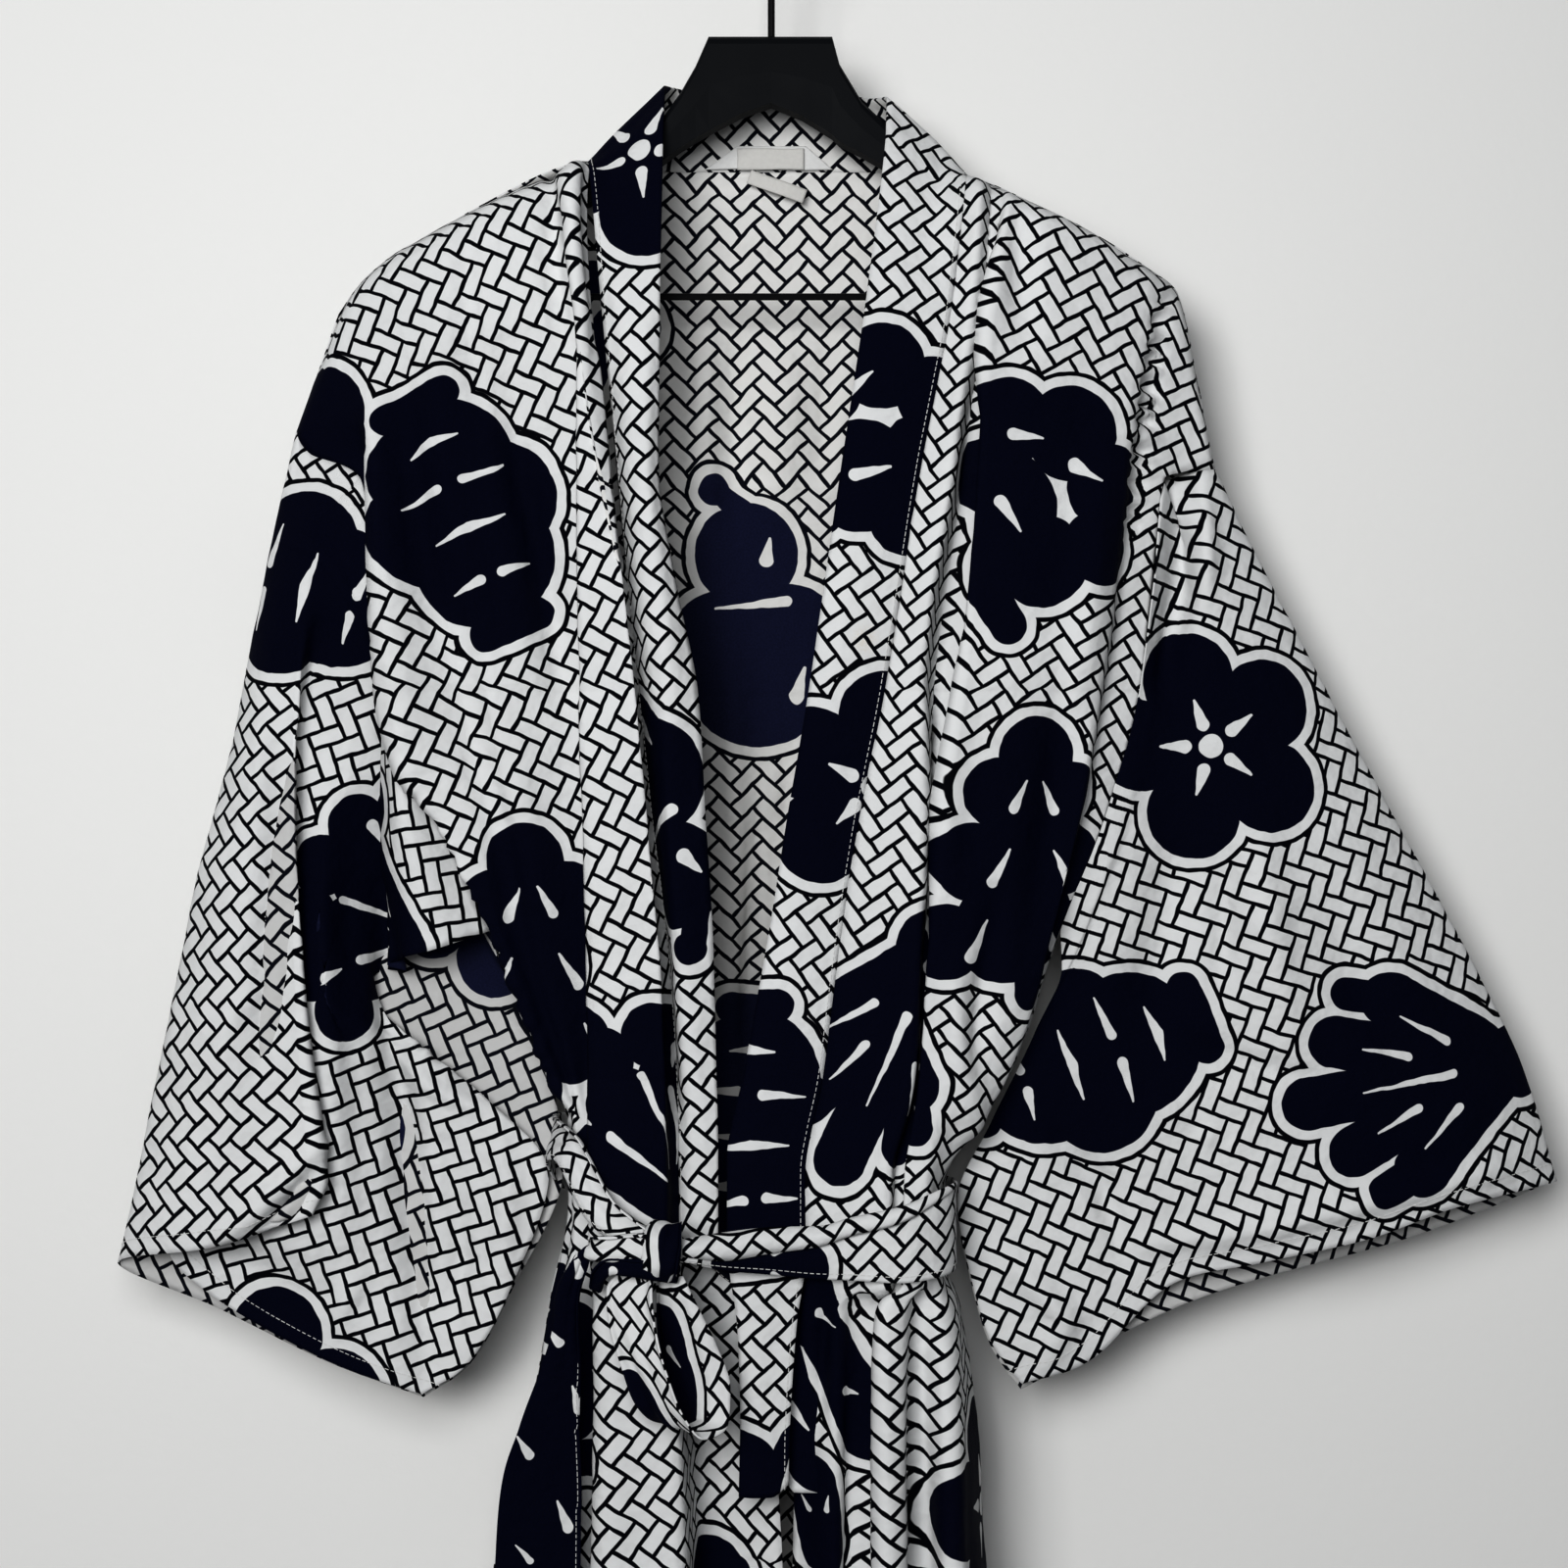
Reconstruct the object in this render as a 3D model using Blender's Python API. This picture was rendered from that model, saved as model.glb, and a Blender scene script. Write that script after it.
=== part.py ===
"""Happi coat with its own tie belt, hung on a black clothes hanger.

The coat is cut the kimono way: one back, two fronts, a band that runs up one front edge,
round the neck and down the other, and two wide sleeves folded over at the top.  A tie belt
gathers it at the waist and is knotted in front.

X runs to the right as seen from the front, Y runs from the front to the back and Z is up.
"left" and "right" are the viewer's.  The origin is the inside top of the hanger's hook.
Tables are in millimetres; every mesh is made in metres.
"""

import math

import bmesh
import bpy
import numpy as np

MM = 0.001

# Cloth and seams
CLOTH = 1.4
BELT_CLOTH = 2.0
SEAM = 0.7
STEPS = 2

# Hanger
WIRE_RADIUS = 1.9
HOOK_RADIUS = 21.0
HOOK_SIDES = 10
NECK_TOP = -95.0
BAR_Z = -236.0
BAR_TOPS = (-209.2, -215.2)
BAR_HALF = 150.0
BAR_RADIUS = 1.9

# Heights of the sections across the coat, from the upper chest down to the hem
HEIGHTS = {
    "arm": -335.0,
    "bust": -452.0,
    "rib": -517.0,
    "armhole": -580.0,
    "midriff": -657.0,
    "waist": -725.0,
    "hip": -782.0,
    "thigh": -839.0,
    "knee": -917.0,
    "hem": -1100.0,
}
STATIONS = ["shoulder", "roll", "chest", "arm", "bust", "rib", "armhole", "midriff",
            "belt_top", "belt_foot", "hip", "thigh", "knee", "hem"]
ARMHOLE_ROW = STATIONS.index("armhole")
BELT_SLOPE = -0.168
BELT_HALF = 23.0

# Shoulder line: (x, z) from one sleeve seam over the hanger to the other
SHOULDER = [
    (-258, -309), (-246, -277), (-236, -250), (-225, -229), (-209, -216), (-185, -202),
    (-153, -184), (-104, -163), (0, -161), (107, -170), (114, -173), (140, -184),
    (172, -200), (199, -216), (220, -232), (227, -277), (231, -309), (241, -330),
]

# Fold lines of a body panel.  Each row is one fold line and holds its x on the shoulder line,
# then (x, y) at the chest, arm, bust, rib, armhole, midriff, waist, hip, thigh, knee and hem.
FRONT_LEFT_FOLDS = {
    "side": (-258, (-250, -4), (-222, -10), (-205, -13), (-179, -14), (-151, -12), (-122, -9),
             (-110, -4), (-120, -2), (-130, 0), (-149, 3), (-172, 6)),
    "side_tuck": (-244, (-236, -12), (-209, -14), (-202, -18), (-175, -20), (-146, -20), (-116, -18),
                  (-105, -13), (-114, -11), (-124, -9), (-142, -6), (-164, -4)),
    "arm_edge": (-229, (-219, -20), (-213, -24), (-211, -27), (-180, -28), (-150, -28), (-119, -26),
                 (-106, -23), (-114, -20), (-124, -18), (-140, -16), (-160, -14)),
    "arm_ridge": (-209, (-193, -25), (-185, -28), (-172, -31), (-156, -32), (-143, -31), (-115, -29),
                  (-104, -30), (-110, -30), (-117, -28), (-130, -26), (-148, -24)),
    "arm_valley": (-190, (-180, -25), (-180, -25), (-166, -25), (-149, -25), (-139, -24), (-110, -25),
                   (-102, -31), (-106, -28), (-110, -26), (-122, -24), (-138, -22)),
    "breast": (-165, (-154, -28), (-149, -28), (-136, -29), (-131, -29), (-124, -29), (-105, -29),
               (-100, -32), (-102, -28), (-103, -26), (-112, -25), (-125, -25)),
    "fold_foot": (-134, (-118, -25), (-115, -24), (-108, -23), (-104, -23), (-101, -23), (-98, -26),
                  (-98, -33), (-98, -28), (-97, -25), (-102, -23), (-112, -22)),
    "fold_under": (-124, (-98, -28), (-96, -28), (-91, -27), (-88, -27), (-86, -28), (-86, -31),
                   (-89, -37), (-88, -33), (-88, -30), (-90, -29), (-98, -29)),
    "fold_edge": (-117, (-103, -34), (-103, -35), (-102, -35), (-100, -36), (-98, -37), (-97, -40),
                  (-96, -45), (-93, -42), (-91, -38), (-92, -38), (-99, -38)),
    "fold_top": (-110, (-98, -37), (-94, -38), (-87, -40), (-82, -42), (-77, -44), (-74, -47),
                 (-74, -53), (-73, -50), (-76, -46), (-78, -46), (-84, -46)),
    "edge_ridge": (-105, (-94, -36), (-85, -39), (-72, -42), (-66, -43), (-60, -44), (-56, -46),
                   (-55, -52), (-47, -48), (-50, -50), (-47, -50), (-46, -50)),
    "edge_under": (-102, (-93, -33), (-85, -35), (-73, -38), (-67, -38), (-60, -39), (-55, -40),
                   (-53, -44), (-38, -36), (-38, -30), (-38, -28), (-36, -26)),
    "collar_seam": (-99, (-90, -30), (-82, -31), (-72, -34), (-64, -34), (-57, -34), (-51, -35),
                    (-49, -38), (-6, -33), (0, -34), (6, -33), (10, -32)),
}
FRONT_RIGHT_FOLDS = {
    "collar_seam": (106, (95, -32), (79, -34), (60, -37), (47, -39), (37, -41), (27, -44),
                    (18, -48), (14, -47), (10, -45), (8, -43), (2, -42)),
    "band_ridge": (113, (105, -37), (95, -40), (79, -44), (79, -46), (78, -47), (74, -49),
                   (61, -53), (33, -49), (33, -48), (33, -47), (35, -49)),
    "valley": (119, (111, -24), (103, -23), (87, -21), (84, -22), (82, -24), (78, -30),
               (65, -44), (60, -39), (59, -37), (57, -35), (62, -34)),
    "fold_under": (125, (120, -26), (115, -26), (104, -26), (95, -28), (88, -31), (83, -35),
                   (72, -46), (64, -42), (63, -41), (62, -40), (68, -39)),
    "fold_edge": (131, (115, -34), (110, -36), (100, -38), (91, -39), (84, -40), (78, -44),
                  (70, -52), (57, -51), (56, -51), (55, -51), (58, -53)),
    "fold_top": (148, (137, -36), (132, -38), (121, -40), (113, -41), (103, -42), (90, -46),
                 (80, -53), (67, -53), (67, -54), (68, -55), (78, -58)),
    "breast": (178, (168, -32), (160, -34), (150, -36), (142, -37), (129, -39), (106, -41),
               (86, -45), (78, -45), (77, -45), (81, -45), (95, -45)),
    "arm_edge": (208, (196, -27), (189, -29), (174, -31), (166, -31), (151, -31), (126, -29),
                 (90, -36), (89, -42), (90, -45), (94, -47), (112, -48)),
    "arm_tuck": (219, (203, -18), (195, -18), (180, -18), (168, -18), (150, -18), (125, -18),
                 (91, -20), (96, -28), (102, -30), (109, -30), (128, -30)),
    "side": (241, (222, -6), (213, -10), (198, -12), (180, -12), (156, -11), (129, -8),
             (94, -5), (101, -4), (111, -2), (116, 2), (136, 6)),
}
BACK_FOLDS = {
    "side_left": (-258, (-248, 6), (-226, 13), (-207, 16), (-180, 8), (-152, -5), (-122, -8),
                  (-110, -3), (-120, -1), (-130, 1), (-149, 4), (-172, 7)),
    "lap_left": (-244, (-237, 16), (-222, 22), (-202, 28), (-175, 20), (-149, 9), (-120, 8),
                 (-109, 10), (-117, 10), (-126, 12), (-145, 16), (-167, 20)),
    "wing_left": (-229, (-221, 22), (-212, 28), (-192, 33), (-170, 30), (-146, 25), (-117, 23),
                  (-104, 22), (-110, 22), (-119, 24), (-137, 28), (-158, 32)),
    "blade_left": (-180, (-174, 32), (-170, 36), (-155, 40), (-140, 40), (-120, 38), (-95, 36),
                   (-82, 33), (-86, 35), (-94, 38), (-106, 41), (-120, 45)),
    "neck_left": (-101, (-96, 36), (-92, 40), (-83, 45), (-77, 46), (-68, 47), (-54, 45),
                  (-46, 40), (-48, 41), (-52, 42), (-60, 44), (-72, 47)),
    "nape_left": (-52, (-50, 38), (-48, 41), (-44, 44), (-41, 44), (-36, 42), (-28, 39),
                  (-26, 37), (-27, 36), (-30, 35), (-34, 36), (-40, 39)),
    "centre": (0, (0, 38), (0, 41), (0, 45), (0, 46), (-2, 47), (-4, 45),
               (-6, 40), (-6, 42), (-7, 45), (-8, 48), (-8, 51)),
    "nape_right": (56, (53, 38), (50, 41), (46, 44), (42, 44), (34, 41), (22, 38),
                   (14, 37), (15, 36), (16, 35), (18, 36), (22, 40)),
    "neck_right": (108, (103, 36), (98, 40), (88, 45), (80, 46), (68, 47), (50, 45),
                   (38, 40), (39, 41), (42, 42), (46, 45), (56, 48)),
    "blade_right": (172, (164, 31), (160, 35), (152, 39), (140, 40), (122, 38), (96, 36),
                    (72, 33), (76, 34), (80, 36), (86, 40), (104, 44)),
    "wing_right": (208, (200, 21), (198, 26), (186, 30), (170, 29), (150, 24), (124, 22),
                   (90, 20), (95, 21), (104, 22), (110, 26), (130, 30)),
    "lap_right": (219, (214, 14), (210, 20), (197, 24), (177, 18), (154, 9), (127, 8),
                  (93, 8), (100, 9), (109, 11), (115, 14), (134, 18)),
    "side_right": (241, (224, 6), (216, 12), (201, 15), (181, 8), (157, -4), (129, -7),
                   (94, -4), (101, -3), (111, -1), (116, 3), (136, 7)),
}
RIDGE = 0.6
NAPE_Y = 31.0
NAPE_Z = -161.0

# Sleeve sections, from the armhole out to the cuff.  Each row is one section.  Its columns run
# from the top fold over the front layer to the lower edge; the armhole itself is the first.
SLEEVE_COLUMNS = [0.0, 2.0, 3.0, 3.5, 4.0, 5.0, 6.0]
SLEEVE_LEFT_FRONT = {
    "root_swell": [(-263, 1, -331), (-254, -5, -340), (-234, -11, -348), (-219, -12, -388),
                   (-209, -19, -454), (-196, -25, -519), (-182, -25, -590)],
    "root_edge": [(-268, 3, -351), (-258, -6, -358), (-246, -10, -362), (-228, -11, -393),
                  (-212, -18, -457), (-212, -22, -523), (-215, -23, -599)],
    "root_under": [(-272, 4, -367), (-260, -7, -372), (-246, -10, -377), (-226, -9, -408),
                   (-206, -13, -467), (-205, -13, -533), (-207, -13, -603)],
    "upper": [(-280, 4, -408), (-262, -10, -412), (-242, -12, -418), (-238, -6, -434),
              (-231, -5, -502), (-236, -4, -562), (-213, -5, -606)],
    "elbow": [(-292, 5, -469), (-265, -16, -475), (-241, -14, -480), (-254, -4, -494),
              (-243, 2, -543), (-246, 0, -602), (-199, -4, -634)],
    "fore": [(-311, 6, -544), (-275, -19, -550), (-240, -16, -558), (-274, -3, -571),
             (-250, 5, -615), (-222, 1, -652), (-156, -3, -672)],
    "wrist": [(-326, 6, -613), (-283, -20, -621), (-240, -17, -635), (-295, -2, -650),
              (-254, 6, -690), (-195, 0, -706), (-121, -3, -714)],
    "hand": [(-341, 7, -688), (-291, -21, -689), (-240, -17, -695), (-316, -1, -708),
             (-266, 6, -744), (-201, -1, -770), (-141, -3, -774)],
    "corner": [(-349, 7, -728), (-295, -21, -719), (-241, -17, -714), (-324, -1, -732),
               (-283, 7, -769), (-219, -1, -799), (-164, -2, -815)],
    "cuff": [(-357, 7, -763), (-298, -21, -747), (-242, -17, -731), (-328, -1, -754),
             (-304, 7, -782), (-243, 0, -814), (-190, -2, -833)],
}
SLEEVE_RIGHT_FRONT = {
    "root": [(261, 3, -370), (245, -8, -378), (230, -12, -389), (216, -10, -416),
             (200, -11, -485), (181, -12, -543), (157, -9, -601)],
    "upper": [(290, 4, -426), (266, -10, -443), (242, -13, -464), (216, -8, -496),
              (193, -9, -543), (165, -8, -596), (141, -6, -640)],
    "elbow": [(327, 5, -496), (295, -12, -517), (260, -14, -538), (222, -8, -570),
              (187, -8, -612), (150, -6, -649), (119, -4, -685)],
    "fore": [(365, 6, -565), (324, -13, -588), (281, -14, -612), (232, -9, -644),
             (182, -8, -676), (136, -6, -703), (101, -3, -727)],
    "wrist": [(400, 7, -632), (350, -13, -654), (300, -15, -675), (240, -10, -702),
              (187, -8, -726), (142, -5, -745), (108, -3, -767)],
    "corner": [(416, 7, -672), (363, -14, -691), (310, -15, -710), (251, -11, -731),
               (200, -8, -750), (154, -5, -780), (119, -3, -803)],
    "cuff": [(429, 7, -718), (373, -14, -728), (321, -15, -746), (266, -12, -759),
             (216, -8, -772), (174, -4, -813), (136, -2, -827)],
}
# The back layer of each sleeve: two inner columns and the lower edge, section by section
SLEEVE_BACK_COLUMNS = [0.0, 3.0, 4.0, 6.0]
SLEEVE_LEFT_BACK = {
    "root_swell": [(-240, 16, -358), (-212, 18, -464), (-160, 0, -590)],
    "root_edge": [(-243, 17, -372), (-212, 19, -474), (-160, 3, -596)],
    "root_under": [(-247, 18, -388), (-212, 19, -486), (-157, 6, -603)],
    "upper": [(-252, 19, -436), (-206, 19, -522), (-151, 9, -611)],
    "elbow": [(-258, 19, -501), (-199, 18, -575), (-145, 10, -629)],
    "fore": [(-269, 19, -577), (-198, 17, -634), (-136, 9, -655)],
    "wrist": [(-277, 19, -650), (-198, 15, -692), (-121, 4, -716)],
    "hand": [(-290, 18, -717), (-214, 15, -754), (-141, 5, -776)],
    "corner": [(-298, 17, -752), (-230, 13, -786), (-164, 6, -817)],
    "cuff": [(-303, 16, -790), (-243, 12, -818), (-190, 7, -836)],
}
SLEEVE_RIGHT_BACK = {
    "root": [(238, 16, -393), (209, 19, -482), (162, 3, -601)],
    "upper": [(260, 17, -458), (214, 18, -533), (143, 5, -642)],
    "elbow": [(288, 18, -528), (217, 17, -598), (120, 6, -688)],
    "fore": [(315, 18, -604), (217, 16, -668), (101, 4, -729)],
    "wrist": [(336, 17, -668), (233, 13, -716), (108, 2, -769)],
    "corner": [(344, 16, -706), (243, 11, -748), (119, 2, -806)],
    "cuff": [(352, 15, -750), (232, 8, -783), (136, 3, -831)],
}

# Neckband across its width: (x, y) of the middle, the outer crease and the free edge at each
# station from the shoulder to the thigh; the seam side comes from the front itself.
BAND_LEFT = {
    "shoulder": [(-88, 0, -151), (-76, 1, -139), (-58, 3, -121)],
    "roll": [(-86, -12, -166), (-74, -12, -156), (-58, -11, -138)],
    "chest": [(-79, -33, -249), (-68, -34, -247), (-59, -33, -245)],
    "arm": [(-75, -34, -335), (-66, -38, -335), (-60, -32, -335)],
    "bust": [(-62, -37, -452), (-53, -41, -452), (-39, -34, -452)],
    "rib": [(-57, -35, -517), (-52, -39, -517), (-35, -35, -517)],
    "armhole": [(-52, -36, -580), (-46, -39, -580), (-31, -35, -580)],
    "midriff": [(-46, -35, -657), (-40, -37, -657), (-29, -35, -657)],
    "waist": [(-42, -38, -730), (-35, -39, -730), (-28, -38, -730)],
    "hip": [(2, -34, -782), (10, -35, -782), (20, -34, -782)],
    "thigh": [(9, -35, -839), (18, -36, -839), (30, -34, -839)],
    "knee": [(16, -35, -917), (26, -36, -917), (40, -35, -917)],
}
BAND_RIGHT = {
    "shoulder": [(93, 0, -156), (80, 1, -143), (63, 3, -127)],
    "roll": [(90, -13, -176), (77, -13, -165), (62, -11, -148)],
    "chest": [(78, -35, -251), (64, -36, -249), (50, -34, -247)],
    "arm": [(64, -37, -335), (50, -38, -335), (37, -36, -335)],
    "bust": [(45, -40, -452), (32, -41, -452), (20, -38, -452)],
    "rib": [(34, -41, -517), (22, -42, -517), (9, -40, -517)],
    "armhole": [(24, -43, -580), (11, -44, -580), (-1, -41, -580)],
    "midriff": [(12, -46, -657), (-2, -47, -657), (-15, -44, -657)],
    "waist": [(6, -49, -730), (-9, -49, -730), (-23, -47, -730)],
    "hip": [(4, -47, -782), (-7, -48, -782), (-18, -45, -782)],
    "thigh": [(1, -46, -839), (-8, -47, -839), (-16, -44, -839)],
    "knee": [(-1, -44, -917), (-10, -45, -917), (-18, -43, -917)],
}
# The same round the nape, by how far along the back's neckline from fold line to fold line
BAND_NAPE = {
    0.5: [(-74, 20, -146), (-64, 23, -132), (-50, 24, -117)],
    1.0: [(-50, 31, -148), (-44, 30, -133), (-38, 29, -116)],
    2.0: [(0, 32, -148), (0, 31, -133), (0, 31, -114)],
    3.0: [(53, 31, -149), (46, 30, -134), (40, 29, -118)],
    3.5: [(80, 20, -150), (68, 23, -137), (54, 24, -122)],
}
BAND_END = 11.5

# Belt round the waist: middle of the strip and its width, from the knot round to the knot
BELT_PATH = {
    "knot_right": (-43.9, -63.5, -752, 20),
    "rolled": (-14, -60, -751, 24),
    "opening": (27, -58, -749, 36),
    "flat": (66, -57, -745, 45),
    "turn_right": (87.4, -52.4, -742, 46),
    "edge_right": (97, -38, -741, 46),
    "side_right": (98.5, -14, -741, 46),
    "hip_right": (98, 10, -741, 46),
    "wing_right": (94, 26, -741, 46),
    "back_right": (72, 40, -737, 46),
    "spine_right": (38, 46, -731, 46),
    "spine": (-4, 46, -724, 46),
    "spine_left": (-46, 46, -717, 46),
    "back_left": (-88, 39, -710, 46),
    "wing_left": (-110, 26, -707, 46),
    "side_left": (-115, 5, -706, 44),
    "turn_left": (-115, -22, -707, 38),
    "rise": (-107, -42, -710, 30),
    "drop": (-94, -58, -715, 26),
    "knot_left": (-79, -68.3, -723.2, 22),
}
# Bow loop below the knot and the free tail: middle, the way across the strip, and its width
BOW_PATH = {
    "knot_front": (-67, -66, -773.2, 18),
    "left_top": (-73, -70, -786, 22),
    "left_low": (-73, -73, -808, 24),
    "foot_left": (-65, -74, -829, 27),
    "foot": (-50, -74, -838, 29),
    "right_low": (-34, -73, -826, 30),
    "right_top": (-34, -72, -798, 26),
    "knot_back": (-50, -66, -767.2, 18),
}
BOW_ACROSS = (0.45, -0.89, 0.0)
TAIL_PATH = {
    "knot": (-98.4, -63, -757, 12),
    "turn": (-105, -61, -771, 11),
    "twist": (-109, -59, -792, 17),
    "opening": (-113, -57, -812, 24),
    "wide": (-119, -54, -858, 39),
    "long": (-122, -51, -905, 46),
    "end": (-124, -48, -985, 46),
}
KNOT_CENTRE = (-69.0, -64.0, -751.5)
KNOT_SIZE = (24.5, 8.0, 21.0)

# Hanger body: x, top, foot and half thickness of each section out from the middle
HANGER_SECTIONS = [
    (-221, -238, -246, 7.0), (-213, -225.5, -247, 10.5), (-190, -210, -233, 11.0),
    (-153, -189.5, -209, 10.0), (-104, -168.5, -188, 8.5), (-80, -158, -178, 8.0),
    (-64, -146, -167, 7.5), (-49, -125, -156, 7.5), (-41, -111, -151, 7.5), (-34, -95, -147, 7.5),
    (-17, -95, -138, 7.5), (0, -95, -132, 7.5), (17, -95, -139, 7.5),
    (33, -95, -149, 7.5), (37, -110, -153, 7.5), (49, -130, -159, 7.5), (68, -148, -170, 7.5),
    (84, -160, -180, 8.0), (112, -177, -196, 8.5), (142, -190, -209, 10.0),
    (172, -206, -226, 11.0), (199, -222, -241, 11.0), (208, -230, -246, 10.5), (216, -238, -246, 7.0),
]

# Labels at the nape: x from, x to, foot and top
PATCH = (-37, 34, -160, -147)
BRAND_LABEL = (-19, 18, -160.5, -148.5)
CARE_LABEL_CENTRE = (3, 26.0, -170)
CARE_LABEL_SIZE = (33.0, 8.0)
CARE_LABEL_TILT = math.radians(-20)


def start_empty():
    for obj in list(bpy.data.objects):
        bpy.data.objects.remove(obj, do_unlink=True)


def material(name, colour, roughness, metallic=0.0):
    found = bpy.data.materials.get(name)
    if found:
        return found
    made = bpy.data.materials.new(name)
    made.use_nodes = True
    shader = made.node_tree.nodes["Principled BSDF"]
    shader.inputs["Base Color"].default_value = (*colour, 1.0)
    shader.inputs["Roughness"].default_value = roughness
    shader.inputs["Metallic"].default_value = metallic
    return made


def smooth_line(points, at):
    """A curve through `points` that never swings past them, read at fractional places."""
    points = np.asarray(points, float)
    at = np.asarray(at, float)
    rise = points[1:] - points[:-1]
    before = np.concatenate([rise[:1], rise])
    after = np.concatenate([rise, rise[-1:]])
    steepest = 2 * np.minimum(np.abs(before), np.abs(after))
    slope = np.clip((before + after) / 2, -steepest, steepest)
    slope[before * after <= 0] = 0
    span = np.clip(np.floor(at).astype(int), 0, len(points) - 2)
    part = (at - span).reshape((-1,) + (1,) * (points.ndim - 1))
    return ((2 * part ** 3 - 3 * part ** 2 + 1) * points[span]
            + (part ** 3 - 2 * part ** 2 + part) * slope[span]
            + (3 * part ** 2 - 2 * part ** 3) * points[span + 1]
            + (part ** 3 - part ** 2) * slope[span + 1])


def steps_between(first, last, steps):
    return np.linspace(first, last, int(round((last - first) * steps)) + 1)


def shoulder_height(x):
    return float(np.interp(x, [row[0] for row in SHOULDER], [row[1] for row in SHOULDER]))


def body_sheet(folds, ridge_y):
    """Control points of a body panel: one row for each station, one column for each fold line."""
    columns = []
    for fold in folds.values():
        x_top = fold[0]
        top = [x_top, ridge_y, shoulder_height(x_top)]
        chest = [fold[1][0], fold[1][1], (top[2] + HEIGHTS["arm"]) / 2]
        roll_drop = min(9.0, 0.3 * (top[2] - chest[2]))
        roll = [0.85 * top[0] + 0.15 * chest[0], 0.72 * chest[1], top[2] - roll_drop]
        column = [top, roll, chest]
        for (x, y), (station, z) in zip(fold[2:], HEIGHTS.items()):
            if station == "waist":
                middle = z + BELT_SLOPE * x
                column.append([x, y, middle + BELT_HALF])
                column.append([x, y, middle - BELT_HALF])
            else:
                column.append([x, y, z])
        columns.append(column)
    return np.array(columns, float).transpose(1, 0, 2)


def read_sheet(control, rows, columns):
    """Points of a smooth sheet at fractional rows and columns of its control points."""
    down = smooth_line(control, rows)
    across = smooth_line(down.transpose(1, 0, 2), columns)
    return across.transpose(1, 0, 2)


def unit(vectors):
    return vectors / np.maximum(np.linalg.norm(vectors, axis=-1, keepdims=True), 1e-9)


def wall_offsets(points):
    """Half a wall of thickness 2 at each point, longer at a crease so that the wall stays even."""
    one = points[1:, 1:] - points[:-1, :-1]
    other = points[:-1, 1:] - points[1:, :-1]
    face = np.pad(unit(np.cross(one, other)), ((1, 1), (1, 1), (0, 0)))
    around = [face[:-1, :-1], face[:-1, 1:], face[1:, :-1], face[1:, 1:]]
    normal = unit(sum(around))
    lean = np.ones(points.shape[:2])
    for side in around:
        real = np.linalg.norm(side, axis=2) > 0.5
        lean = np.where(real, np.minimum(lean, (side * normal).sum(axis=2)), lean)
    return normal / np.clip(lean, 0.42, 1.0)[:, :, None]


def solid_from(name, vertices, faces, finish):
    mesh = bpy.data.meshes.new(name)
    mesh.from_pydata([tuple(v * MM for v in vertex) for vertex in vertices], [], faces)
    work = bmesh.new()
    work.from_mesh(mesh)
    if work.calc_volume(signed=True) < 0:
        bmesh.ops.reverse_faces(work, faces=work.faces)
    bmesh.ops.triangulate(work, faces=work.faces)
    work.to_mesh(mesh)
    work.free()
    mesh.shade_smooth()
    mesh.materials.append(finish)
    obj = bpy.data.objects.new(name, mesh)
    bpy.context.scene.collection.objects.link(obj)
    return obj


def cloth_wall(name, points, finish, thickness=CLOTH):
    """A closed wall of even thickness on both sides of a sheet of points."""
    rows, columns = points.shape[:2]
    half = wall_offsets(points) * thickness / 2
    front = points - half
    back = points + half
    vertices = np.concatenate([front.reshape(-1, 3), back.reshape(-1, 3)])
    middle = points.reshape(-1, 3)
    count = rows * columns
    faces = []
    for r in range(rows - 1):
        for c in range(columns - 1):
            a = r * columns + c
            b = a + 1
            d = a + columns
            e = d + 1
            if np.linalg.norm(middle[a] - middle[e]) < np.linalg.norm(middle[b] - middle[d]):
                halves = ((a, b, e), (a, e, d))
            else:
                halves = ((a, b, d), (b, e, d))
            for corners in halves:
                faces.append(corners)
                faces.append(tuple(count + corner for corner in corners[::-1]))
    rim = list(range(columns))
    rim += [r * columns + columns - 1 for r in range(1, rows)]
    rim += [(rows - 1) * columns + c for c in range(columns - 2, -1, -1)]
    rim += [r * columns for r in range(rows - 2, 0, -1)]
    for here, there in zip(rim, rim[1:] + rim[:1]):
        faces.append((there, here, count + here, count + there))
    return solid_from(name, vertices, faces, finish)


def seam_line(edge, inner, beyond):
    """Where the next piece starts past a panel's edge, clear of it however sharply they turn."""
    along = unit(np.gradient(edge, axis=0))
    out = edge - inner
    on = beyond - edge
    out = unit(out - along * (out * along).sum(axis=-1, keepdims=True))
    on = unit(on - along * (on * along).sum(axis=-1, keepdims=True))
    turn = np.clip((out * on).sum(axis=-1, keepdims=True), -0.8, 1.0)
    gap = SEAM + CLOTH * np.sqrt((1 - turn) / (1 + turn))
    return edge + unit(out + on) * gap * 0.4 + on * gap * 0.6


def column_places(spans, steps):
    """Fractional places along columns whose spans are cut into even steps."""
    places = []
    for index, span in enumerate(spans):
        count = max(2, int(round(span * steps)))
        places.append(index + np.arange(count) / count)
    return np.concatenate(places + [[float(len(spans))]])


def edge_points(sheet, column, places, steps):
    """Points on the straight-sided edge that a panel has once its sheet is cut into steps."""
    at = steps_between(0, len(sheet) - 1, steps)
    corners = smooth_line(sheet[:, column], at)
    return np.stack([np.interp(places, at, corners[:, axis]) for axis in range(3)], axis=1)


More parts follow.
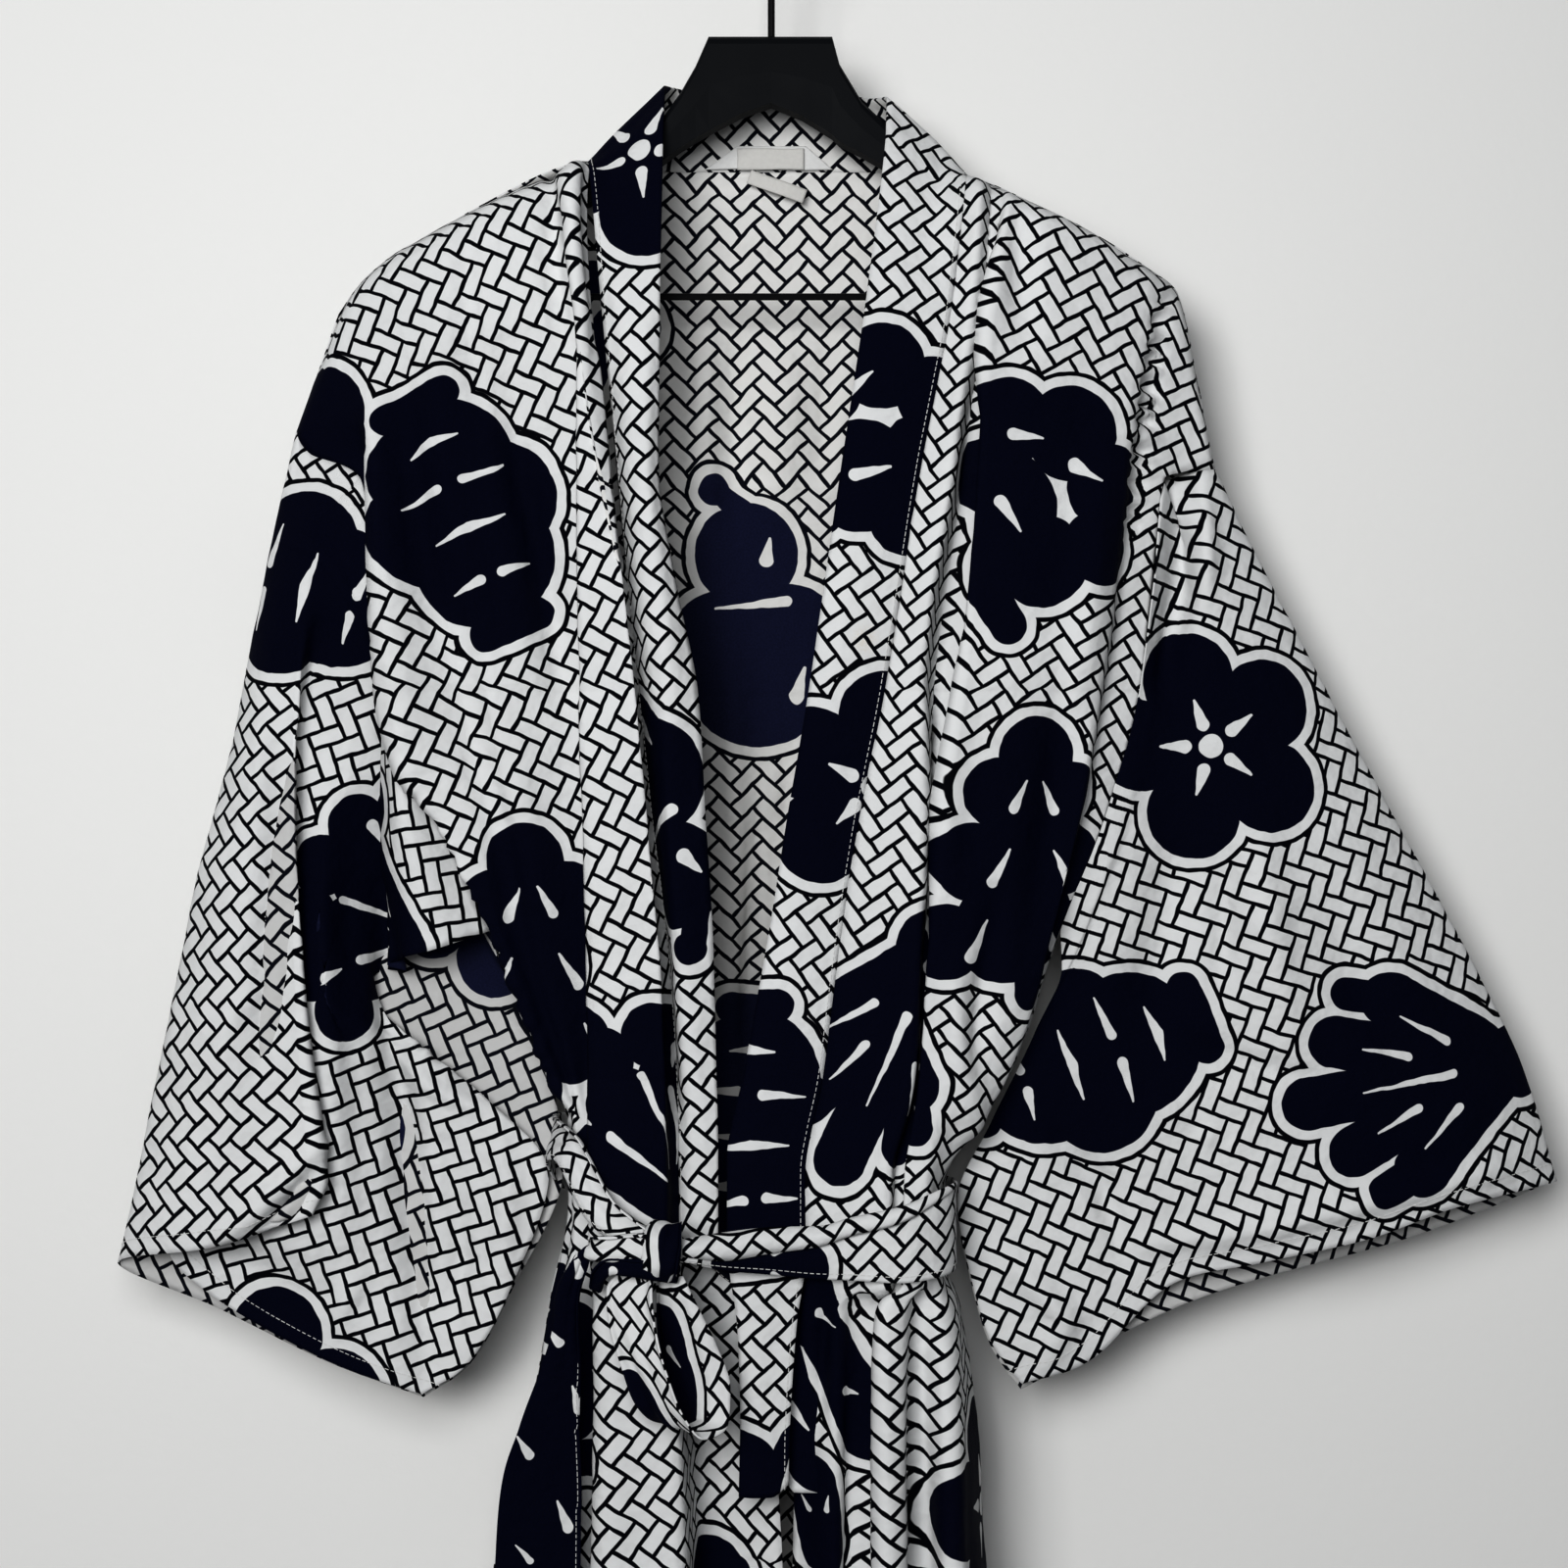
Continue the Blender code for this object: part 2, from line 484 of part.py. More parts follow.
def sleeve_sheet(front, back, edge, inner, front_table, back_table, steps):
    """One sleeve as a sheet: from its lower front edge over the top fold to its lower back edge.

    `front` and `back` are the body's control sheets, `edge` the column of their armhole and
    `inner` that of the fold line next to it.
    """
    front_at = np.array(SLEEVE_COLUMNS[::-1])
    back_at = np.array(SLEEVE_BACK_COLUMNS[1:])
    control = [np.concatenate([smooth_line(front[:, edge], front_at),
                               smooth_line(back[:, edge], back_at)])]
    for section in front_table:
        control.append(np.array(front_table[section][::-1] + back_table[section], float))
    spans = list(-np.diff(front_at)) + list(np.diff([0.0] + list(back_at)))
    columns = column_places(spans, steps)
    rows = np.concatenate([[0.0], steps_between(1, len(control) - 1, steps)])
    points = read_sheet(np.array(control), rows, columns)

    station = np.interp(columns, np.arange(len(spans) + 1), np.concatenate([front_at, back_at]))
    on_front = (columns <= len(front_at) - 1)[:, None]
    seam = np.where(on_front, edge_points(front, edge, station, steps),
                    edge_points(back, edge, station, steps))
    beside = np.where(on_front, smooth_line(front[:, inner], station),
                      smooth_line(back[:, inner], station))
    points[0] = seam_line(seam, beside, points[1])
    return points


def band_sheet(front_left, front_right, back, first, steps):
    """Neckband: up the left front edge, round the nape and down the right front edge.

    `first` is the back's fold line where its neckline starts.
    """
    side = steps_between(0, BAND_END, steps)
    sides = []
    for table, front, seam_at, next_at in ((BAND_LEFT, front_left, -1, -2),
                                           (BAND_RIGHT, front_right, 0, 1)):
        rows = []
        for station in STATIONS[:STATIONS.index("knee") + 1]:
            if station in ("belt_top", "belt_foot"):
                shift = BELT_HALF if station == "belt_top" else -BELT_HALF
                rows.append([(x, y, HEIGHTS["waist"] + BELT_SLOPE * x + shift)
                             for x, y, _ in table["waist"]])
            else:
                rows.append(table[station])
        rest = smooth_line(np.array(rows, float), side)
        edge = smooth_line(front[:, seam_at], side)
        inner = smooth_line(front[:, next_at], side)
        sides.append(np.concatenate([seam_line(edge, inner, rest[:, 0])[:, None], rest], axis=1))
    left, right = sides
    places = steps_between(0, 4, steps)[1:-1]
    table = np.concatenate([left[:1, 1:], np.array(list(BAND_NAPE.values()), float), right[:1, 1:]])
    rest = smooth_line(table, np.interp(places, [0.0] + list(BAND_NAPE) + [4.0], range(len(table))))
    edge = smooth_line(back[0], first + places)
    inner = smooth_line(back[1], first + places)
    nape = np.concatenate([seam_line(edge, inner, rest[:, 0])[:, None], rest], axis=1)
    control = np.concatenate([left[::-1], nape, right])
    return read_sheet(control, np.arange(len(control)), steps_between(0, control.shape[1] - 1, 1.5))


def strip_sheet(path, across, steps, across_steps=3):
    """A strip along a table of middle points and widths; `across` gives its way across."""
    table = np.array(list(path.values()), float)
    places = steps_between(0, len(table) - 1, steps)
    line = smooth_line(table, places)
    middle = line[:, :3]
    width = line[:, 3]
    ways = np.array([across(place, middle, index) for index, place in enumerate(places)], float)
    ways /= np.linalg.norm(ways, axis=1, keepdims=True)
    offsets = np.linspace(-0.5, 0.5, across_steps)
    return middle[:, None] + ways[:, None] * (offsets[None, :, None] * width[:, None, None])


def tube(name, path, radius, sides, finish):
    """A round wire along a path in the X-Z plane."""
    path = np.array(path, float)
    along = np.gradient(path, axis=0)
    along /= np.linalg.norm(along, axis=1, keepdims=True)
    vertices = []
    faces = []
    for point, way in zip(path, along):
        side = np.array([way[2], 0.0, -way[0]])
        for k in range(sides):
            angle = 2 * math.pi * k / sides
            ring = side * math.cos(angle) + np.array([0.0, 1.0, 0.0]) * math.sin(angle)
            vertices.append(point + ring * radius)
    for i in range(len(path) - 1):
        for k in range(sides):
            a = i * sides + k
            b = i * sides + (k + 1) % sides
            faces.append((a, b, b + sides, a + sides))
    faces.append(tuple(range(sides))[::-1])
    faces.append(tuple(range((len(path) - 1) * sides, len(path) * sides)))
    return solid_from(name, vertices, faces, finish)


def build_hanger(plastic, metal):
    profile = [(0.0, 0.0), (0.55, -0.7), (0.88, -2.6), (1.0, -5.5)]
    vertices = []
    faces = []
    for x, top, foot, half in HANGER_SECTIONS:
        low = max(foot + 1.5, (top + foot) / 2 - 2)
        ring = [(across * half, max(top + drop, (top + foot) / 2)) for across, drop in profile]
        ring += [(half, min(low, (top + foot) / 2 - 0.5)), (0.8 * half, foot)]
        ring += [(-across, up) for across, up in ring[:0:-1]]
        vertices += [(x, across, up) for across, up in ring]
    sides = len(ring)
    count = len(HANGER_SECTIONS)
    for i in range(count - 1):
        for k in range(sides):
            a = i * sides + k
            b = i * sides + (k + 1) % sides
            faces.append((a, b, b + sides, a + sides))
    faces.append(tuple(range(sides))[::-1])
    faces.append(tuple(range((count - 1) * sides, count * sides)))
    solid_from("hanger_body", vertices, faces, plastic)

    centre_z = WIRE_RADIUS - HOOK_RADIUS
    hook = [(0, 0, NECK_TOP + 0.3), (0, 0, -75), (0, 0, -60), (2, 0, -50), (8, 0, -42)]
    for step in range(15):
        angle = math.radians(-40 + step * 240 / 14)
        hook.append((HOOK_RADIUS * math.cos(angle), 0, centre_z + HOOK_RADIUS * math.sin(angle)))
    tube("hanger_hook", hook, WIRE_RADIUS, HOOK_SIDES, metal)

    bend = 8.0
    corner = [(-BAR_HALF, 0, BAR_Z + bend)]
    corner += [(-BAR_HALF + bend - bend * math.cos(a), 0, BAR_Z + bend - bend * math.sin(a))
               for a in np.radians([30, 60, 90])]
    bar = [(-BAR_HALF, 0, BAR_TOPS[0])] + corner
    bar += [(-x, y, z) for x, y, z in corner[::-1]] + [(BAR_HALF, 0, BAR_TOPS[1])]
    tube("hanger_bar", bar, BAR_RADIUS, 8, plastic)


def build_coat(cotton):
    front_left = body_sheet(FRONT_LEFT_FOLDS, -RIDGE)
    front_right = body_sheet(FRONT_RIGHT_FOLDS, -RIDGE)
    back = body_sheet(BACK_FOLDS, RIDGE)
    names = list(BACK_FOLDS)
    for column in range(names.index("nape_left"), names.index("nape_right") + 1):
        back[0, column, 1:] = NAPE_Y, NAPE_Z
        back[1, column, 1:] = NAPE_Y + 2, NAPE_Z - 12
    rows = steps_between(0, len(STATIONS) - 1, STEPS)
    left = read_sheet(front_left, rows, steps_between(0, len(FRONT_LEFT_FOLDS) - 1, STEPS))
    right = read_sheet(front_right, rows, steps_between(0, len(FRONT_RIGHT_FOLDS) - 1, STEPS))
    rear = read_sheet(back, rows, steps_between(0, len(BACK_FOLDS) - 1, STEPS))
    below = rows > ARMHOLE_ROW
    rear[below, 0] = seam_line(left[below, 0], left[below, 1], rear[below, 1])
    rear[below, -1] = seam_line(right[below, -1], right[below, -2], rear[below, -2])
    cloth_wall("front_left", left, cotton)
    cloth_wall("front_right", right, cotton)
    cloth_wall("back", rear, cotton)

    cloth_wall("sleeve_left", sleeve_sheet(front_left, back, 0, 1, SLEEVE_LEFT_FRONT,
                                           SLEEVE_LEFT_BACK, STEPS), cotton)
    cloth_wall("sleeve_right", sleeve_sheet(front_right, back, -1, -2, SLEEVE_RIGHT_FRONT,
                                            SLEEVE_RIGHT_BACK, STEPS), cotton)
    cloth_wall("neckband", band_sheet(front_left, front_right, back, names.index("neck_left"),
                                      STEPS), cotton)


def build_belt(cotton):
    upright = lambda place, middle, index: (0.0, 0.0, 1.0)
    cloth_wall("belt_wrap", strip_sheet(BELT_PATH, upright, 3), cotton, BELT_CLOTH)
    sloped = lambda place, middle, index: BOW_ACROSS
    cloth_wall("belt_bow", strip_sheet(BOW_PATH, sloped, 3), cotton, BELT_CLOTH)
    level = lambda place, middle, index: (1.0, 0.12, 0.0)
    cloth_wall("belt_tail", strip_sheet(TAIL_PATH, level, 3), cotton, BELT_CLOTH)

    rings = 9
    sides = 14
    vertices = [tuple(np.array(KNOT_CENTRE) + (0, 0, KNOT_SIZE[2]))]
    for ring in range(1, rings):
        up = math.pi * ring / rings
        for k in range(sides):
            turn = 2 * math.pi * k / sides
            vertices.append((KNOT_CENTRE[0] + KNOT_SIZE[0] * math.sin(up) * math.cos(turn),
                             KNOT_CENTRE[1] + KNOT_SIZE[1] * math.sin(up) * math.sin(turn),
                             KNOT_CENTRE[2] + KNOT_SIZE[2] * math.cos(up)))
    vertices.append(tuple(np.array(KNOT_CENTRE) - (0, 0, KNOT_SIZE[2])))
    faces = [(0, 1 + k, 1 + (k + 1) % sides) for k in range(sides)]
    for ring in range(rings - 2):
        for k in range(sides):
            a = 1 + ring * sides + k
            b = 1 + ring * sides + (k + 1) % sides
            faces.append((a, a + sides, b + sides, b))
    base = 1 + (rings - 2) * sides
    faces += [(len(vertices) - 1, base + (k + 1) % sides, base + k) for k in range(sides)]
    solid_from("belt_knot", vertices, faces, cotton)


def build_labels(cotton, tape):
    def flat(name, corners, y, thickness, finish):
        vertices = [(x, y, z) for x, z in corners] + [(x, y + thickness, z) for x, z in corners]
        count = len(corners)
        faces = [tuple(range(count)), tuple(range(count, 2 * count))[::-1]]
        faces += [(k, k + count, (k + 1) % count + count, (k + 1) % count) for k in range(count)]
        solid_from(name, vertices, faces, finish)

    x0, x1, foot, top = PATCH
    flat("neck_patch", [(x0, foot), (x1, foot), (x1 - 15, top), (x0 + 18, top)], 28.7, 1.0, cotton)
    x0, x1, foot, top = BRAND_LABEL
    flat("neck_label", [(x0, foot), (x1, foot), (x1, top), (x0, top)], 27.4, 1.0, tape)
    cx, cy, cz = CARE_LABEL_CENTRE
    wide, tall = CARE_LABEL_SIZE
    turn = CARE_LABEL_TILT
    corners = []
    for sx, sz in ((-1, -1), (1, -1), (1, 1), (-1, 1)):
        dx = sx * wide / 2
        dz = sz * tall / 2
        corners.append((cx + dx * math.cos(turn) - dz * math.sin(turn),
                        cz + dx * math.sin(turn) + dz * math.cos(turn)))
    flat("care_label", corners, cy, 1.0, tape)


def main():
    start_empty()
    cotton = material("printed_cotton", (0.70, 0.70, 0.68), 0.85)
    tape = material("label_tape", (0.86, 0.85, 0.80), 0.6)
    plastic = material("black_plastic", (0.012, 0.013, 0.016), 0.45)
    metal = material("black_metal", (0.02, 0.02, 0.022), 0.35, 0.8)
    build_hanger(plastic, metal)
    build_coat(cotton)
    build_belt(cotton)
    build_labels(cotton, tape)


main()
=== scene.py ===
"""Looks of the happi coat on its hanger: printed cotton, stitching, belt, labels and hanger.

The coat's cut is worked out in millimetres, as in its solids; every mesh is made in metres.
X runs to the right as seen from the front, Y to the back and Z up.
"""

import math

import bpy
import numpy as np
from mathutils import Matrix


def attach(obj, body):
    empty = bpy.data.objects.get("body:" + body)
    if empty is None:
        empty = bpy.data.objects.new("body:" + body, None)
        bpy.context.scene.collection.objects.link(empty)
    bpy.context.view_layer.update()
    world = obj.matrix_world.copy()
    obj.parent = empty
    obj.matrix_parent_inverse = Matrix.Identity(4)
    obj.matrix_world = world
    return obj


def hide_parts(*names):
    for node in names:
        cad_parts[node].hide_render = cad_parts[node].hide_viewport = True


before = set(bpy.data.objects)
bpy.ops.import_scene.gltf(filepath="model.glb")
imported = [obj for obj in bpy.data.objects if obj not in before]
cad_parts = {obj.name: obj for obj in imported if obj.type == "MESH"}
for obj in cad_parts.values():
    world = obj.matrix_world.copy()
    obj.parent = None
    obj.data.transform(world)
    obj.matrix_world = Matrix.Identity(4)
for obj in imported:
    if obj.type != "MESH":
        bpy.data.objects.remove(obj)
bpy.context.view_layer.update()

MM = 0.001

# How much washed cloth is crumpled and its longest waves in millimetres, and the most columns of
# points that a sheet is unrolled with
CRUMPLE = 0.55
LONGEST_WAVE = 120
MOST_COLUMNS = 48

# The wall's place in metres; the camera's place and how wide it sees at the coat in millimetres
WALL_Y = 0.070
CAMERA_X = 6.9
CAMERA_Z = -501.0
CAMERA_AWAY = 1400.0
VIEW_ACROSS = 853.0

# The left front's turn off the grain in degrees, and the width and length in metres that each
# piece is cut to
FRONT_LEFT_TURN = -10.0
FRONT_CUT = (0.21, 0.95)
BACK_CUT = (0.45, 0.95)

# Creases as seen from the front: the line each runs along, how far it stands out of the cloth,
# half its width and, where it is puckered, how far apart the puckers are
FRONT_LEFT_CREASES = [
    ([(-201, -258), (-195, -318), (-185, -376), (-172, -428), (-160, -480), (-147, -532),
      (-133, -582)], -9, 13),
    ([(-213, -285), (-208, -345), (-202, -420), (-193, -500), (-184, -570)], 8, 9),
    ([(-181, -270), (-172, -350), (-156, -430), (-141, -500), (-126, -560)], 7, 10),
    ([(-120, -172), (-117, -215), (-111, -268)], -8, 4),
    ([(-106, -168), (-104, -215), (-100, -262)], 5, 5),
    ([(-163, -205), (-162, -262), (-154, -305)], -7, 6),
    ([(-143, -270), (-132, -345), (-121, -390), (-112, -450)], -10, 8),
    ([(-98, -180), (-93, -250), (-84, -318), (-77, -376)], -10, 7),
    ([(-213, -398), (-206, -450), (-186, -505), (-166, -545), (-150, -583), (-131, -625),
      (-113, -668)], 1.8, 4, 13),
    ([(-214, -585), (-202, -592), (-176, -586), (-150, -584)], 5, 4, 14),
    ([(-156, -560), (-146, -580), (-134, -611), (-119, -655), (-108, -695)], 2.5, 4, 12),
    ([(-85, -790), (-84, -900), (-83, -1100)], 7, 9),
    ([(-112, -800), (-110, -900), (-112, -1100)], -8, 7),
]
FRONT_RIGHT_CREASES = [
    ([(121, -190), (116, -242), (110, -296)], 7, 7),
    ([(131, -195), (135, -262)], -7, 7),
    ([(98, -430), (92, -501), (92, -570)], 8, 9),
    ([(210, -240), (203, -300), (198, -335), (194, -370)], -8, 5, 11),
    ([(160, -440), (150, -520), (138, -590)], -8, 12),
    ([(175, -330), (168, -420), (160, -470)], 7, 9),
    ([(120, -560), (112, -610), (104, -660)], -8, 8),
    ([(108, -690), (100, -640), (96, -600)], 7, 8),
    ([(4, -765), (2, -900), (0, -1100)], -24, 24),
    ([(46, -762), (46, -900), (48, -1100)], -12, 6),
    ([(60, -765), (61, -870), (63, -1100)], 8, 7),
    ([(80, -768), (80, -870), (84, -1100)], -14, 6),
    ([(93, -768), (95, -860), (98, -1100)], 7, 6),
    ([(30, -762), (27, -800), (25, -840)], -7, 5),
]
BACK_CREASES = [
    ([(-21, -262), (-22, -355)], 7, 6),
    ([(-38, -240), (-40, -360)], -7, 8),
    ([(31, -255), (29, -330)], 7, 6),
    ([(5, -260), (4, -350)], -5, 7),
    ([(16, -470), (4, -556), (-6, -650)], 10, 5),
    ([(28, -440), (18, -556), (12, -650)], -7, 6),
    ([(-24, -430), (-20, -520), (-22, -620)], -7, 7),
    ([(-8, -520), (-12, -600), (-14, -660)], 8, 5),
    ([(-130, -300), (-110, -450), (-90, -640)], 14, 16),
    ([(128, -300), (108, -460), (78, -640)], 14, 16),
    ([(-165, -280), (-150, -420), (-120, -600)], -10, 12),
    ([(160, -280), (146, -430), (112, -610)], -12, 12),
    ([(-60, -760), (-70, -900), (-86, -1100)], 15, 12),
    ([(-20, -770), (-24, -900), (-30, -1100)], -10, 12),
    ([(30, -770), (34, -920), (44, -1100)], 15, 12),
    ([(66, -770), (76, -920), (92, -1100)], -12, 11),
    ([(-150, -540), (-128, -590), (-104, -660)], 4, 5, 15),
]
SLEEVE_LEFT_CREASES = [
    ([(-262, -480), (-266, -560), (-272, -640), (-276, -700)], -7, 9),
    ([(-272, -604), (-292, -630), (-300, -660)], 3, 4),
    ([(-262, -640), (-280, -690)], 3, 4),
    ([(-296, -744), (-282, -736), (-262, -716), (-246, -696)], 10, 5),
    ([(-272, -742), (-258, -728), (-248, -712)], -8, 4),
    ([(-244, -555), (-239, -660), (-232, -745)], 7, 9),
    ([(-212, -560), (-207, -640), (-198, -714), (-193, -767), (-187, -825)], -14, 9),
    ([(-176, -700), (-170, -760), (-176, -812)], -7, 8),
    ([(-150, -690), (-142, -720), (-146, -770)], 7, 7),
    ([(-186, -622), (-164, -648), (-146, -668)], 2, 5, 19),
    ([(-226, -770), (-236, -796)], 5, 6),
    ([(-206, -600), (-186, -640), (-160, -668)], -7, 5),
    ([(-198, -614), (-171, -631), (-151, -627)], 7, 5),
    ([(-160, -588), (-150, -624), (-145, -657)], -9, 6),
    ([(-184, -636), (-163, -649), (-139, -653), (-121, -670)], 8, 5),
    ([(-178, -600), (-168, -622), (-162, -640)], 7, 4),
    ([(-140, -612), (-132, -640), (-128, -662)], 7, 5),
    ([(-214, -640), (-190, -664), (-150, -682)], 4, 5),
    ([(-190, -588), (-200, -630)], 6, 4),
    ([(-218, -633), (-170, -655), (-117, -675)], 3.5, 4, 11),
]
SLEEVE_RIGHT_CREASES = [
    ([(219, -305), (223, -353), (221, -395), (212, -446)], -15, 8),
    ([(232, -330), (233, -400)], 7, 7),
    ([(206, -345), (198, -400), (190, -450)], 7, 7),
    ([(219, -530), (213, -586), (202, -636)], -10, 15),
    ([(245, -540), (243, -610)], -7, 8),
    ([(262, -520), (268, -580), (280, -640)], 7, 12),
    ([(300, -560), (320, -620), (350, -660)], -5, 14),
    ([(202, -750), (240, -745), (276, -738), (330, -724), (408, -706)], 7, 7),
    ([(190, -664), (230, -690), (262, -700)], 2.5, 6, 23),
    ([(150, -690), (180, -720), (190, -760)], -7, 8),
    ([(130, -760), (160, -790), (150, -815)], 7, 7),
    ([(228, -640), (262, -654), (300, -662)], -5, 6),
]

# Heights of the sections across the coat, from the upper chest down to the hem
HEIGHTS = {
    "arm": -335.0,
    "bust": -452.0,
    "rib": -517.0,
    "armhole": -580.0,
    "midriff": -657.0,
    "waist": -725.0,
    "hip": -782.0,
    "thigh": -839.0,
    "knee": -917.0,
    "hem": -1100.0,
}
STATIONS = ["shoulder", "roll", "chest", "arm", "bust", "rib", "armhole", "midriff",
            "belt_top", "belt_foot", "hip", "thigh", "knee", "hem"]
BELT_SLOPE = -0.168
BELT_HALF = 23.0
# How far under the shoulder line the cloth has rolled over it to the front or back
ROLL_DROP = 9.0

# Shoulder line: (x, z) from one sleeve seam over the hanger to the other
SHOULDER = [
    (-258, -309), (-246, -277), (-236, -250), (-225, -229), (-209, -216), (-185, -202),
    (-153, -184), (-104, -163), (0, -161), (107, -170), (114, -173), (140, -184),
    (172, -200), (199, -216), (220, -232), (227, -277), (231, -309), (241, -330),
]

# Fold lines of a body panel.  Each row is one fold line and holds its x on the shoulder line,
# then (x, y) at the chest, arm, bust, rib, armhole, midriff, waist, hip, thigh, knee and hem.
FRONT_LEFT_FOLDS = {
    "side": (-258, (-250, -4), (-222, -10), (-205, -13), (-179, -14), (-151, -12), (-122, -9),
             (-110, -4), (-120, -2), (-130, 0), (-149, 3), (-172, 6)),
    "side_tuck": (-244, (-236, -12), (-209, -14), (-202, -18), (-175, -20), (-146, -20),
                  (-116, -18), (-105, -13), (-114, -11), (-124, -9), (-142, -6), (-164, -4)),
    "arm_edge": (-229, (-219, -20), (-213, -24), (-211, -27), (-180, -28), (-150, -28), (-119, -26),
                 (-106, -23), (-114, -20), (-124, -18), (-140, -16), (-160, -14)),
    "arm_ridge": (-209, (-193, -25), (-185, -28), (-172, -31), (-156, -32), (-143, -31),
                  (-115, -29), (-104, -30), (-110, -30), (-117, -28), (-130, -26), (-148, -24)),
    "arm_valley": (-190, (-177, -25), (-173, -26), (-156, -27), (-143, -28), (-134, -27),
                   (-110, -26), (-102, -31), (-106, -28), (-110, -26), (-122, -24), (-138, -22)),
    "breast": (-165, (-154, -28), (-149, -28), (-136, -29), (-131, -29), (-124, -29), (-105, -29),
               (-100, -32), (-102, -28), (-103, -26), (-112, -25), (-125, -25)),
    "fold_foot": (-134, (-118, -25), (-115, -24), (-108, -23), (-104, -23), (-101, -23), (-98, -26),
                  (-98, -33), (-98, -28), (-97, -25), (-102, -23), (-112, -22)),
    "fold_under": (-124, (-98, -28), (-96, -28), (-91, -27), (-88, -27), (-86, -28), (-86, -31),
                   (-89, -37), (-88, -33), (-88, -30), (-90, -29), (-98, -29)),
    "fold_edge": (-117, (-103, -34), (-103, -35), (-102, -35), (-100, -36), (-98, -37), (-97, -40),
                  (-96, -45), (-93, -42), (-91, -38), (-92, -38), (-99, -38)),
    "fold_top": (-110, (-98, -37), (-94, -38), (-87, -40), (-82, -42), (-77, -44), (-74, -47),
                 (-74, -53), (-73, -50), (-76, -46), (-78, -46), (-84, -46)),
    "edge_ridge": (-105, (-94, -36), (-85, -39), (-72, -42), (-66, -43), (-60, -44), (-56, -46),
                   (-55, -52), (-47, -48), (-50, -50), (-47, -50), (-46, -50)),
    "edge_under": (-102, (-93, -30), (-86, -28), (-75, -27), (-69, -27), (-62, -27), (-57, -30),
                   (-53, -40), (-39, -26), (-39, -12), (-38, -5), (-36, -3)),
    "collar_seam": (-99, (-90, -26), (-82, -20), (-71, -15), (-64, -14), (-56, -14), (-50, -18),
                    (-49, -32), (-6, -26), (0, -24), (6, -22), (10, -20)),
}
FRONT_RIGHT_FOLDS = {
    "collar_seam": (106, (95, -32), (79, -34), (60, -37), (47, -39), (37, -41), (27, -44),
                    (18, -48), (14, -47), (10, -45), (8, -43), (2, -42)),
    "band_ridge": (113, (105, -37), (95, -40), (79, -44), (79, -46), (78, -47), (74, -49),
                   (61, -53), (33, -49), (33, -48), (33, -47), (35, -49)),
    "valley": (119, (111, -24), (103, -23), (87, -21), (84, -22), (82, -24), (78, -30),
               (65, -44), (60, -39), (59, -37), (57, -35), (62, -34)),
    "fold_under": (125, (120, -26), (115, -26), (104, -26), (95, -28), (88, -31), (83, -35),
                   (72, -46), (64, -42), (63, -41), (62, -40), (68, -39)),
    "fold_edge": (131, (115, -34), (110, -36), (100, -38), (91, -39), (84, -40), (78, -44),
                  (70, -52), (57, -51), (56, -51), (55, -51), (58, -53)),
    "fold_top": (148, (137, -36), (132, -38), (121, -40), (113, -41), (103, -42), (90, -46),
                 (80, -53), (67, -53), (67, -54), (68, -55), (78, -58)),
    "breast": (178, (168, -32), (160, -34), (150, -36), (142, -37), (129, -39), (106, -41),
               (86, -45), (78, -45), (77, -45), (81, -45), (95, -45)),
    "arm_edge": (208, (196, -27), (189, -29), (174, -31), (166, -31), (151, -31), (126, -29),
                 (90, -36), (89, -42), (90, -45), (94, -47), (112, -48)),
    "arm_tuck": (219, (203, -18), (195, -18), (180, -18), (168, -18), (150, -18), (125, -18),
                 (91, -20), (96, -28), (102, -30), (109, -30), (128, -30)),
    "side": (241, (222, -6), (213, -10), (198, -12), (180, -12), (156, -11), (129, -8),
             (94, -5), (101, -4), (111, -2), (116, 2), (136, 6)),
}
